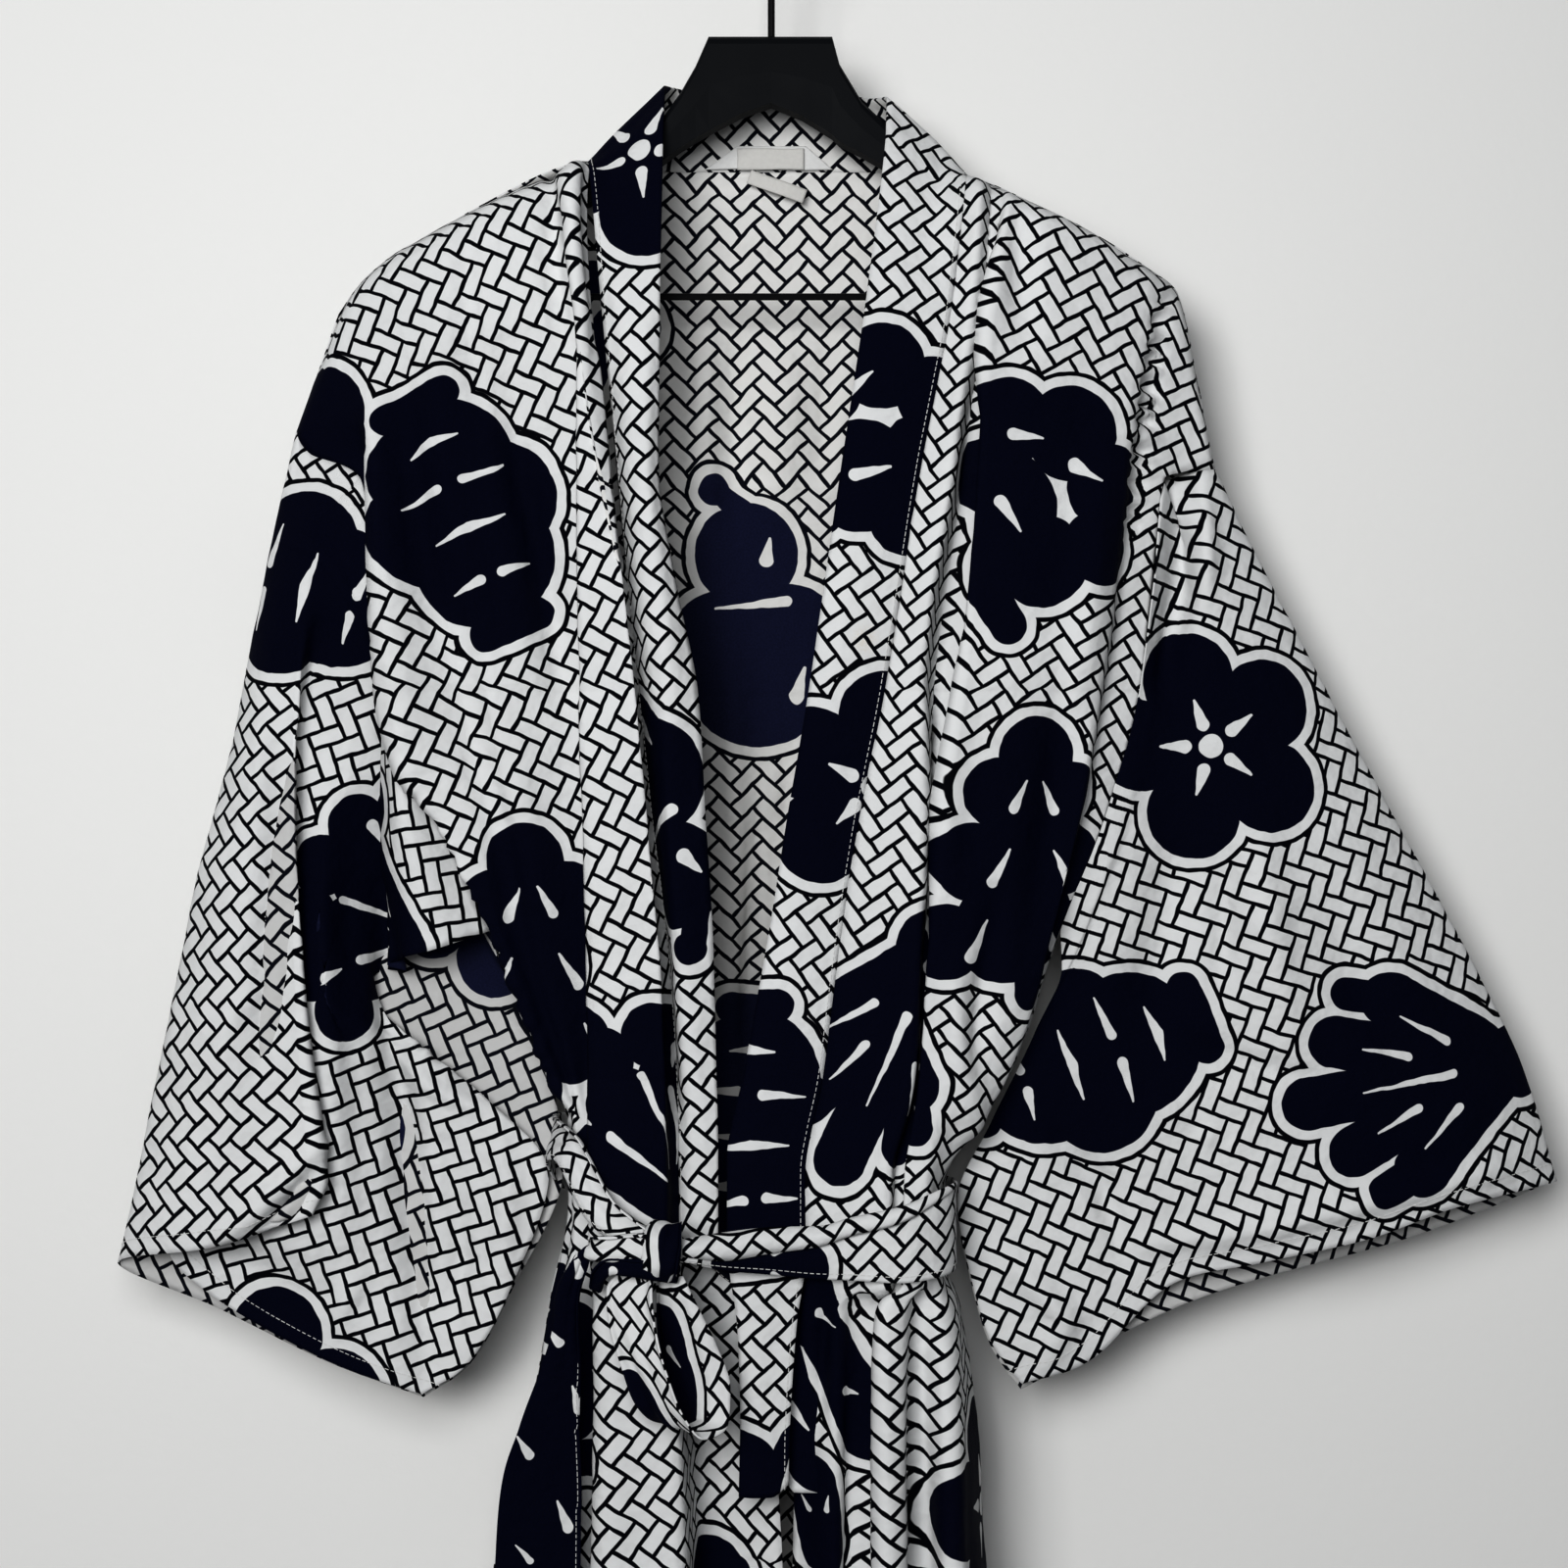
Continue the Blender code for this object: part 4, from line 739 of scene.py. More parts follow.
# More bricks than any place is from a line, to leave one side of a brick open
NO_LINE = 9.0

# Shapes of the print's motifs, in millimetres from each one's middle.  Discs are (x, y, radius)
# and strokes (x, y, x, y, radius); cuts stay white inside the navy.  A mirrored shape is the
# same on both sides and gives one of them.
SHAPES = {
    "plum": {
        "mirrored": True,
        "discs": [(0, 37, 25), (36, 12, 25), (23, -30, 25), (0, 0, 26)],
        "strokes": [],
        "cuts": [(0, 14, 0, 28, 2.8), (12, 4, 25, 8, 2.8), (8, -11, 16, -22, 2.8),
                 (0, 0, 0, 0, 5.0)],
    },
    "pine": {
        "mirrored": True,
        "discs": [(0, 58, 21), (20, 37, 19), (0, 34, 20), (32, 0, 21), (0, 4, 27), (46, -42, 20),
                  (15, -36, 28)],
        "strokes": [(0, -42, 0, -70, 9)],
        "cuts": [(12, 29, 5, 44, 2.2), (22, -10, 13, 7, 2.4), (33, -50, 24, -31, 2.6)],
    },
    "gourd": {
        "mirrored": False,
        "discs": [(0, 36, 29), (0, -30, 42), (14, 74, 9), (-18, -14, 32), (18, -14, 32)],
        "strokes": [(0, 60, 12, 74, 7)],
        "cuts": [(-20, 8, 20, 8, 2.4), (-20, -46, -26, -30, 3.6), (-11, 32, -14, 44, 3.2)],
    },
    "fan": {
        "mirrored": True,
        "discs": [(58, 14, 17), (41, 38, 17), (15, 51, 17), (0, -46, 12)],
        "strokes": [(36, 12, 0, -38, 17), (14, 28, 0, -38, 17)],
        "cuts": [(28, 12, 9, -20, 2.2), (0, 34, 0, -18, 1.8), (43, 30, 36, 22, 2.6)],
    },
    "lantern": {
        "mirrored": True,
        "discs": [(0, 27, 39), (0, -22, 39), (21, 2, 31)],
        "strokes": [(0, 66, 17, 66, 9), (0, -62, 15, -62, 9)],
        "cuts": [(0, 44, 15, 42, 2.2), (8, 20, 30, 18, 2.2), (0, -6, 20, -7, 2.2),
                 (6, -34, 22, -36, 2.2)],
    },
    "bamboo": {
        "mirrored": True,
        "discs": [(0, 52, 19)],
        "strokes": [(0, 44, 0, -66, 14), (4, 40, 46, -12, 15), (4, 22, 30, -46, 14),
                    (46, -12, 54, -34, 9)],
        "cuts": [(0, 14, 0, -36, 1.9), (18, 14, 36, -8, 1.9), (14, -8, 23, -32, 1.9)],
    },
    "bean": {
        "mirrored": True,
        "discs": [],
        "strokes": [(0, -16, 0, 16, 15)],
        "cuts": [(6, 2, 9, 9, 1.4)],
    },
    "pod": {
        "mirrored": False,
        "discs": [(-3, 26, 15)],
        "strokes": [(0, -40, 0, 40, 15)],
        "cuts": [(3, 30, 8, 20, 1.8), (-2, -14, 4, -20, 2.0)],
    },
    "sash": {
        "mirrored": False,
        "discs": [(20, 60, 16), (-18, -70, 18)],
        "strokes": [(0, -140, 0, 140, 27)],
        "cuts": [(13, 106, 20, 100, 1.6), (-12, 84, -17, 93, 2.0), (4, 52, 12, 44, 1.5),
                 (-15, 34, -9, 20, 2.4), (8, -4, 16, -14, 2.0), (-14, -30, -8, -42, 2.4),
                 (4, -66, 14, -74, 2.0), (-2, -104, 6, -118, 2.4)],
    },
    "cloud": {
        "mirrored": False,
        "discs": [(-36, 24, 23), (-6, 40, 25), (28, 30, 23), (44, 2, 21), (-42, -12, 20),
                  (-12, -14, 30), (22, -24, 25), (-4, -46, 19)],
        "strokes": [(-6, -48, 28, -62, 10)],
        "cuts": [(-30, 20, -16, 28, 2.6), (6, 28, 22, 30, 2.6), (-14, -12, 4, -18, 2.8)],
    },
}

# Where each cut piece's motifs lie: shape, place across and up the grain from the piece's
# middle, and turn in degrees
MOTIFS = {
    "front_left": [("gourd", -66, 384, 12), ("lantern", 16, 290, 4), ("pine", -30, 50, -12),
                   ("fan", 40, -62, 8), ("cloud", -96, -172, 20), ("plum", 44, -344, -10)],
    "front_right": [("cloud", 0, 296, -24), ("pine", 38, 106, 8), ("bamboo", -54, 0, -10),
                    ("pod", -60, -172, 24), ("plum", 74, -256, 12), ("bean", -78, -250, 8),
                    ("fan", -30, -392, -8)],
    "back": [("gourd", 6, 236, -6), ("plum", -132, 330, 14), ("fan", 128, 372, -12),
             ("bamboo", 118, 120, 10), ("pine", -96, 76, -8), ("lantern", 8, -50, 6),
             ("cloud", -96, -226, 12), ("plum", 84, -262, -14)],
    "sleeve_left": [("lantern", 186, -22, -6), ("fan", 44, -150, 14), ("plum", -228, -215, 0),
                    ("cloud", -100, 130, 8), ("pine", 70, 190, 170)],
    "sleeve_right": [("plum", 104, 74, 190), ("bamboo", -108, 50, 166), ("lantern", -20, 214, 176),
                     ("cloud", 60, -140, 10), ("gourd", -90, -200, -12)],
    "neckband": [("plum", -10, 110, 0), ("gourd", 16, 470, 30), ("pine", -14, 770, 0),
                 ("cloud", -8, -290, 40), ("plum", 24, -470, 0), ("lantern", -14, -660, 10),
                 ("gourd", 20, -850, 80)],
    "belt": [("bean", 15, 47, 0), ("plum", 10, 300, 80), ("bean", -8, 330, 30),
             ("bean", -11, 740, 0), ("pod", -12, 916, 0), ("sash", 0, 1150, 0)],
}

# The middle of the one faint stain, on the outside of its piece
STAINS = {"neckband": (7, -394)}
STAIN_COLOUR = (0.66, 0.57, 0.45)

# The white, the lines and the navy of the cloth's two sides, and the white in the sleeves.
# On the inside the lines and navy are paler, as printed through the cloth.  The inside white is
# painted lighter than the outside's: painted light for the coat's shaded inside.  The sleeves'
# inside white is greyer: painted shade.
OUTSIDE_COLOURS = ((0.755, 0.76, 0.76), (0.0012, 0.0015, 0.004), (0.0012, 0.0018, 0.0105))
# Inside white painted lighter than the outside's, as painted light; its lines and navy are paler as
# printed through
INSIDE_PALER_PRINT_AND_PAINTED_LIGHT_COLOURS = ((0.79, 0.785, 0.77), (0.005, 0.006, 0.012), (0.009, 0.011, 0.034))
# Greyer white inside the sleeves: painted shade on the inner layer under the left front and the
# sleeves' lower inside
SLEEVE_INSIDE_PAINTED_SHADE_COLOURS = ((0.62, 0.618, 0.612), *INSIDE_PALER_PRINT_AND_PAINTED_LIGHT_COLOURS[1:])
CLOTH_THREAD = 0.42

# Which way the bricks' zigzags run on each cut piece: 45 for up the grain, 135 for across it
BRICK_WAY = {"front_left": 45, "front_right": 135, "back": 135, "sleeve_left": 135,
             "sleeve_right": 135, "neckband": 45, "belt": 45}


def motif_distances(flat, motifs):
    """Distance outside the nearest motif of a piece, and outside its nearest cut."""
    nearest = None
    nearest_cut = None
    for name, across, up, turn in motifs:
        shape = SHAPES[name]
        local = flat.vector("SUBTRACT", flat, (across, up, 0.0))
        local = local.make("ShaderNodeVectorRotate", {"rotation_type": "Z_AXIS"},
                           {"Vector": local, "Angle": -math.radians(turn)})
        if shape["mirrored"]:
            x, y = local.parts()
            local = x.make("ShaderNodeCombineXYZ", {}, {0: x.math("ABSOLUTE", x), 1: y})

        def stroke(x0, y0, x1, y1, radius, taper=0.0):
            length = (x1 - x0) ** 2 + (y1 - y0) ** 2
            if length == 0:
                return local.vector("DISTANCE", local, (x0, y0, 0.0), output=1) - radius
            from_start = local.vector("SUBTRACT", local, (x0, y0, 0.0))
            way = ((x1 - x0) / length, (y1 - y0) / length, 0.0)
            part = from_start.vector("DOT_PRODUCT", from_start, way, output=1)
            part = part.make("ShaderNodeClamp", {}, {0: part})
            on_line = part.make("ShaderNodeVectorMath", {"operation": "SCALE"},
                                {0: (x1 - x0, y1 - y0, 0.0), "Scale": part})
            away = on_line.vector("DISTANCE", from_start, on_line, output=1) - radius
            return away.math("MULTIPLY_ADD", part, taper * radius, away) if taper else away

        discs = [(x, y, x, y, radius) for x, y, radius in shape["discs"]]
        for line in discs + shape["strokes"]:
            body = stroke(*line)
            nearest = body if nearest is None else nearest.least(body)
        for line in shape["cuts"]:
            cut = stroke(*line[:4], CUT_SWELL * line[4], CUT_TAPER)
            nearest_cut = cut if nearest_cut is None else nearest_cut.least(cut)
    return nearest, nearest_cut


def brick_distance(flat, way):
    """Distance from the nearest line of the print's herringbone of bricks."""
    turned = flat.make("ShaderNodeVectorRotate", {"rotation_type": "Z_AXIS"},
                       {"Vector": flat, "Angle": math.radians(way)})
    over, up = turned.parts()
    over = over / BRICK
    up = up / BRICK
    cell = over.math("FLOOR", over) - up.math("FLOOR", up)
    turn = cell.math("FLOORED_MODULO", cell, 4.0)
    over = over.math("FRACT", over)
    up = up.math("FRACT", up)

    def open_in(cell_turn):
        return NO_LINE * turn.math("COMPARE", turn, cell_turn, 0.1)

    sides = (over + open_in(1.0)).least(1.0 - over + open_in(0.0))
    ends = (up + open_in(2.0)).least(1.0 - up + open_in(3.0))
    return sides.least(ends) * BRICK


def print_group(piece, motifs):
    """The print of one cut piece, as a group: place and colours in, colour and ink out."""
    tree = bpy.data.node_groups.new("print_" + piece, "ShaderNodeTree")
    for name, kind in (("Flat", "NodeSocketVector"), ("White", "NodeSocketColor"),
                       ("Line", "NodeSocketColor"), ("Navy", "NodeSocketColor")):
        tree.interface.new_socket(name, in_out="INPUT", socket_type=kind)
    tree.interface.new_socket("Color", in_out="OUTPUT", socket_type="NodeSocketColor")
    tree.interface.new_socket("Ink", in_out="OUTPUT", socket_type="NodeSocketFloat")
    given = tree.nodes.new("NodeGroupInput")
    flat, white, line, navy = [Shade(tree, socket) for socket in given.outputs[:4]]
    wander = flat.noise(WANDER_SCALE, 1.0, 0.5, "2D", 1)
    wander = wander.vector("SUBTRACT", wander, (0.5, 0.5, 0.5)).scaled(WANDER)
    inked = flat.vector("ADD", flat, wander)
    bricks = brick_distance(inked, BRICK_WAY[piece])
    body, cut = motif_distances(inked, motifs)
    lines = bricks.inside(BRICK_LINE / 2)
    outline = body.inside(OUTLINE)
    halo = body.inside(HALO)
    solid = body.inside(0.0) * (1.0 - cut.inside(0.0))
    colour = white.mix(line, lines).mix(line, outline).mix(white, halo).mix(navy, solid)
    ink = lines.most(outline) * (1.0 - halo)
    ink = ink.most(solid)
    result = tree.nodes.new("NodeGroupOutput")
    tree.links.new(colour.socket, result.inputs["Color"])
    tree.links.new(ink.socket, result.inputs["Ink"])
    return tree


def new_finish(name):
    """An empty material and a place to start a chain of its nodes from."""
    finish = bpy.data.materials.new(name)
    finish.use_nodes = True
    return finish, Shade(finish.node_tree, None)


def fill_shader(start, colour, roughness, shine, strength, depth, height):
    """Give a finish's shader its colour, roughness and shine, and its relief in millimetres."""
    shader = start.tree.nodes["Principled BSDF"]
    bump = start.make("ShaderNodeBump", {}, {
        "Strength": strength, "Distance": depth * MM, "Height": height})
    for name, value in (("Base Color", colour), ("Roughness", roughness),
                        ("Specular IOR Level", shine), ("Normal", bump)):
        if isinstance(value, Shade):
            start.tree.links.new(value.socket, shader.inputs[name])
        else:
            shader.inputs[name].default_value = value


def weave(over, up, thread):
    """The rise of a plain weave of threads `thread` mm apart."""
    turns = 2 * math.pi / thread
    return over.math("SINE", over * turns) * up.math("SINE", up * turns)


def tinted(colour, part):
    return tuple(part * value for value in colour)


def printed_cotton(name, group, white, line, navy, stain=None):
    """Printed cotton cloth: its white a little uneven, and its navy worn along the threads."""
    finish, start = new_finish(name)
    flat = start.make("ShaderNodeUVMap", {"uv_map": "flat"}, {}).scaled(1 / MM)
    slub = flat.noise(0.9, 0.0, 0.5, "2D")
    white = flat.noise(0.016, 0.0, 0.5, "2D").blend(white, tinted(white, 0.93))
    if stain:
        away = flat.vector("DISTANCE", flat, (*stain, 0.0), output=1)
        white = white.mix((*STAIN_COLOUR, 1.0), away.inside(5.5, 11.0) * 0.55 * slub)
    navy = slub.blend(navy, tinted(navy, 1.5))
    printed = start.make("ShaderNodeGroup", {"node_tree": group}, {
        "Flat": flat, "White": white, "Line": (*line, 1.0), "Navy": navy})
    ink = Shade(start.tree, printed.socket.node.outputs["Ink"])
    over, up = flat.parts()
    threads = weave(over, up, CLOTH_THREAD)
    creases = flat.noise(0.075, 2.0, 0.6, "2D")
    fill_shader(start, printed, 0.86 - 0.1 * ink, 0.06, 1.0, 1.6, creases + 0.03 * threads)
    return finish


# ---------------------------------------------------------------- pieces

# How thick each cloth is, and how far apart the points of its sheets are, in millimetres
CLOTH = 0.7
NECKBAND_CLOTH = 1.4
BELT_CLOTH = 1.0
LABEL_CLOTH = 0.5
PITCH = 3.0
BACK_PITCH = 5.0
BELT_PITCH = 1.6
LABEL_PITCH = 1.5


def cloth_piece(name, sheets, finishes, thickness=CLOTH):
    """Sheets of (points, where they lay on the bolt) as one piece, each a thin closed shell."""
    places, corners, spread = [], [], []
    start = 0
    for points, flat in sheets:
        quads = grid_faces(*points.shape[:2])
        places.append((points * MM).reshape(-1, 3))
        corners.append(quads + start)
        spread.append(flat.reshape(-1, 2)[quads.reshape(-1)] * MM)
        start += len(places[-1])
    mesh = bpy.data.meshes.new(name)
    mesh.from_pydata(np.concatenate(places), [], np.concatenate(corners))
    layer = mesh.uv_layers.new(name="flat")
    layer.data.foreach_set("uv", np.concatenate(spread).reshape(-1))
    mesh.shade_smooth()
    for finish in finishes:
        mesh.materials.append(finish)
    piece = add_object(name, mesh)
    wall = piece.modifiers.new("wall", "SOLIDIFY")
    wall.thickness = thickness * MM
    wall.offset = 0.0
    wall.material_offset = 1
    wall.material_offset_rim = 0
    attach(piece, "root")
    return piece


def fine_sheet(control, pitch=PITCH):
    """Points of a sheet about `pitch` apart, with their places among its control points."""
    rows = even_places(control, pitch)
    columns = even_places(control.transpose(1, 0, 2), pitch)
    return read_sheet(control, rows, columns), rows, columns


# ---------------------------------------------------------------- stitches, labels and hanger

STITCH_SPACING = 3.3
STITCH_LENGTH = 2.3
STITCH_THICKNESS = 0.5
STITCH_LIFT = 0.15
CUFF_HEM = 10.0
NECKBAND_SEAM = 2.5
BELT_SEAM = 3.2
PATCH_FOOT = (-37, 34, -160)
PATCH_TOP = (-19, 19, -147)
PATCH_Y = 28.7
BRAND_LABEL = (-19, 18, -160.5, -148.5)
BRAND_LABEL_Y = 27.4
CARE_LABEL_MIDDLE = (3, 26.0, -170)
CARE_LABEL_SIZE = (33.0, 8.0)
CARE_LABEL_TILT = math.radians(-20)
FACING_COLOUR = (0.86, 0.86, 0.85)
TAPE_COLOUR = (0.90, 0.89, 0.86)
THREAD_COLOUR = (0.74, 0.74, 0.73)
# The hanger's colours, from the darkest to the rubbed places
PLASTIC_COLOURS = ((0.0045, 0.0055, 0.0075), (0.007, 0.008, 0.010))
ENAMEL_COLOURS = ((0.006, 0.006, 0.007), (0.010, 0.010, 0.011))


def stitch_rows():
    """Geometry nodes that lay a stitch every so often along each line of a mesh."""
    tree = bpy.data.node_groups.new("stitch_rows", "GeometryNodeTree")
    tree.interface.new_socket("Lines", in_out="INPUT", socket_type="NodeSocketGeometry")
    for name in ("Spacing", "Length", "Thickness"):
        tree.interface.new_socket(name, in_out="INPUT", socket_type="NodeSocketFloat")
    tree.interface.new_socket("Thread", in_out="INPUT", socket_type="NodeSocketMaterial")
    tree.interface.new_socket("Stitches", in_out="OUTPUT", socket_type="NodeSocketGeometry")
    given = tree.nodes.new("NodeGroupInput")
    lines, spacing, length, thickness, thread = [Shade(tree, socket)
                                                 for socket in given.outputs[:5]]
    make = lines.make
    curves = make("GeometryNodeMeshToCurve", {}, {"Mesh": lines})
    places = make("GeometryNodeResampleCurve", {"mode": "LENGTH"},
                  {"Curve": curves, "Length": spacing})
    stitch = make("GeometryNodeMeshCylinder", {"fill_type": "TRIANGLE_FAN"},
                  {"Vertices": 6, "Radius": thickness * 0.5, "Depth": length})
    way = make("GeometryNodeInputTangent", {}, {})
    turn = make("FunctionNodeAlignRotationToVector", {"axis": "Z"}, {"Vector": way})
    uneven = make("FunctionNodeRandomValue", {"data_type": "FLOAT_VECTOR"},
                  {"Min": (0.9, 0.8, 0.75), "Max": (1.1, 1.2, 1.1), "Seed": 4})
    laid = make("GeometryNodeInstanceOnPoints", {},
                {"Points": places, "Instance": stitch, "Rotation": turn, "Scale": uneven})
    solid = make("GeometryNodeRealizeInstances", {}, {"Geometry": laid})
    finished = make("GeometryNodeSetMaterial", {}, {"Geometry": solid, "Material": thread})
    tree.links.new(finished.socket, tree.nodes.new("NodeGroupOutput").inputs["Stitches"])
    return tree


def side_line(points, inset, thickness, side):
    """The line `inset` mm inside one side of a sheet's grid, just off the face of its shell."""
    lifted = points + normals(points) * (0.5 * thickness + STITCH_LIFT)
    if side == "foot":
        lifted = lifted.transpose(1, 0, 2)
    if side in ("last", "foot"):
        lifted = lifted[:, ::-1]
    steps = np.linalg.norm(np.diff(lifted, axis=1), axis=2)
    walked = np.concatenate([np.zeros((len(lifted), 1)), np.cumsum(steps, axis=1)], axis=1)
    return np.array([[np.interp(inset, far, row[:, axis]) for axis in range(3)]
                     for far, row in zip(walked, lifted)])


def topstitch(name, line, tree, thread):
    """One piece of stitches along a line in millimetres."""
    guide = bpy.data.meshes.new(name + "_guide")
    guide.from_pydata(line * MM, [(step, step + 1) for step in range(len(line) - 1)], [])
    holder = add_object(name + "_guide", guide)
    rows = holder.modifiers.new("rows", "NODES")
    rows.node_group = tree
    given = {"Spacing": STITCH_SPACING * MM, "Length": STITCH_LENGTH * MM,
             "Thickness": STITCH_THICKNESS * MM, "Thread": thread}
    for socket in tree.interface.items_tree:
        if socket.in_out == "INPUT" and socket.name in given:
            rows[socket.identifier] = given[socket.name]
    graph = bpy.context.evaluated_depsgraph_get()
    mesh = bpy.data.meshes.new_from_object(holder.evaluated_get(graph))
    holder.modifiers.remove(rows)
    bpy.data.objects.remove(holder)
    piece = add_object(name, mesh)
    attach(piece, "root")
    return piece


def woven_finish(name, colour, rib, thread_bump):
    """Plain woven cotton tape or thread, a little uneven in colour."""
    finish, start = new_finish(name)
    place = start.make("ShaderNodeTexCoord", {}, {}, 3).scaled(1 / MM)
    uneven = place.noise(0.4, 3.0, 0.6)
    across, up = place.parts(2)
    fill_shader(start, uneven.blend(colour, tinted(colour, 0.86)), 0.72 + 0.16 * uneven, 0.15,
                thread_bump, 0.3, weave(across, up, rib) + 0.6 * uneven)
    return finish


def black_finish(name, low, high, roughness, grain):
    """Moulded plastic or enamelled wire, nearly black, with a fine grain and faint rubs."""
    finish, start = new_finish(name)
    place = start.make("ShaderNodeTexCoord", {}, {}, 3)
    rubs = place.noise(34.0, 4.0, 0.62)
    fill_shader(start, rubs.blend(low, high), roughness + 0.2 * rubs, 0.08,
                0.25, 0.2, place.noise(grain))
    return finish


def build_labels():
    """The bare facing at the nape and the two bare tapes sewn on it."""
    cotton = woven_finish("facing_cotton", FACING_COLOUR, 0.5, 0.5)
    tape = woven_finish("label_weave", TAPE_COLOUR, 0.7, 0.7)
    left, right, foot = PATCH_FOOT
    top_left, top_right, top = PATCH_TOP
    middle_z = (foot + top) / 2
    patch = [
        [(top_left, PATCH_Y, top), (-6, PATCH_Y - 0.3, top), (7, PATCH_Y, top),
         (top_right, PATCH_Y, top)],
        [((left + top_left) / 2, PATCH_Y, middle_z), (-8, PATCH_Y - 0.5, middle_z),
         (9, PATCH_Y - 0.2, middle_z), ((right + top_right) / 2, PATCH_Y - 0.4, middle_z)],
        [(left, PATCH_Y, foot), (-12, PATCH_Y - 0.3, foot + 0.5), (12, PATCH_Y - 0.5, foot - 0.4),
         (right, PATCH_Y, foot)],
    ]
    left, right, foot, top = BRAND_LABEL
    middle_z = (foot + top) / 2
    brand = [
        [(left, BRAND_LABEL_Y, top), (-6, BRAND_LABEL_Y - 0.2, top + 0.2),
         (7, BRAND_LABEL_Y, top - 0.2), (right, BRAND_LABEL_Y, top)],
        [(left, BRAND_LABEL_Y, middle_z), (-6, BRAND_LABEL_Y - 0.6, middle_z),
         (7, BRAND_LABEL_Y - 0.3, middle_z), (right, BRAND_LABEL_Y - 0.5, middle_z)],
        [(left, BRAND_LABEL_Y, foot), (-6, BRAND_LABEL_Y - 0.5, foot),
         (7, BRAND_LABEL_Y - 0.9, foot + 0.3), (right, BRAND_LABEL_Y - 0.4, foot)],
    ]
    over, away, up = CARE_LABEL_MIDDLE
    wide, tall = CARE_LABEL_SIZE
    care = []
    for down in (0.5, 0.0, -0.5):
        row = []
        for across, lift in ((-0.5, 0.4), (-0.2, 0.0), (0.2, -1.1), (0.5, -0.3)):
            x, z = across * wide, down * tall
            row.append((over + x * math.cos(CARE_LABEL_TILT) - z * math.sin(CARE_LABEL_TILT),
                        away + lift + 0.8 * down,
                        up + x * math.sin(CARE_LABEL_TILT) + z * math.cos(CARE_LABEL_TILT)))
        care.append(row)
    for name, control, finish, cut in (("neck_patch", patch, cotton, (0.071, 0.013)),
                                       ("neck_label", brand, tape, (0.037, 0.012)),
                                       ("care_label", care, tape, (0.033, 0.010))):
        points = fine_sheet(np.array(control, float), LABEL_PITCH)[0]
        piece = cloth_piece(name + "_cloth", [(points, points[..., ::2])], [finish, finish],
                            LABEL_CLOTH)
        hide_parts(name)


def finish_hanger():
    plastic = black_finish("hanger_plastic", *PLASTIC_COLOURS, 0.46, 900.0)
    enamel = black_finish("hanger_enamel", *ENAMEL_COLOURS, 0.34, 1500.0)
    for name, finish in (("hanger_body", plastic), ("hanger_bar", enamel), ("hanger_hook", enamel)):
        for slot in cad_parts[name].material_slots:
            slot.material = finish


def sleeve_sheet(front, back, edge, front_table, back_table):
    """A sleeve from its lower front edge over the top fold to its lower back edge."""
    front_at = np.array(SLEEVE_COLUMNS[::-1])
    back_at = np.array(SLEEVE_BACK_COLUMNS[1:])
    control = [np.concatenate([smooth_line(front[:, edge], front_at),
                               smooth_line(back[:, edge], back_at)])]
    for section in front_table:
        control.append(np.array(front_table[section][::-1] + back_table[section], float))
    points, rows, columns = fine_sheet(np.array(control))
    fold = len(front_at) - 1
    station = np.interp(columns, np.arange(len(control[0])), np.concatenate([front_at, back_at]))
    seam = np.where((columns <= fold)[:, None], smooth_line(front[:, edge], station),
                    smooth_line(back[:, edge], station))
    points += np.clip(1 - rows, 0, 1)[:, None, None] * (seam - points[0])
    on_front = np.clip(fold - columns + 0.1, 0, 1)
    return points, on_front


def band_control(front_left, front_right, back, first):
    """Neckband: up the left front edge, round the nape and down the right front edge."""
    side = np.arange(0, BAND_END + 0.25, BAND_STEP)
    sides = []
    for table, front, seam_at in ((BAND_LEFT, front_left, -1), (BAND_RIGHT, front_right, 0)):
        rows = []
        for station in STATIONS[:STATIONS.index("knee") + 1]:
            if station in ("belt_top", "belt_foot"):
                shift = BELT_HALF if station == "belt_top" else -BELT_HALF
                rows.append([(x, y, HEIGHTS["waist"] + BELT_SLOPE * x + shift)
                             for x, y in table["waist"]])
            elif station in HEIGHTS:
                rows.append([(x, y, HEIGHTS[station]) for x, y in table[station]])
            else:
                rows.append(table[station])
        rest = smooth_line(np.array(rows, float), side)
        edge = smooth_line(front[:, seam_at], side)
        sides.append(np.concatenate([edge[:, None], rest], axis=1))
    left, right = sides
    places = np.arange(BAND_STEP, 4.0, BAND_STEP)
    table = np.concatenate([left[:1, 1:], np.array(list(BAND_NAPE.values()), float), right[:1, 1:]])
    rest = smooth_line(table, np.interp(places, [0.0] + list(BAND_NAPE) + [4.0], range(len(table))))
    edge = smooth_line(back[0], first + places)
    nape = np.concatenate([edge[:, None], rest], axis=1)
    return np.concatenate([left[::-1], nape, right])


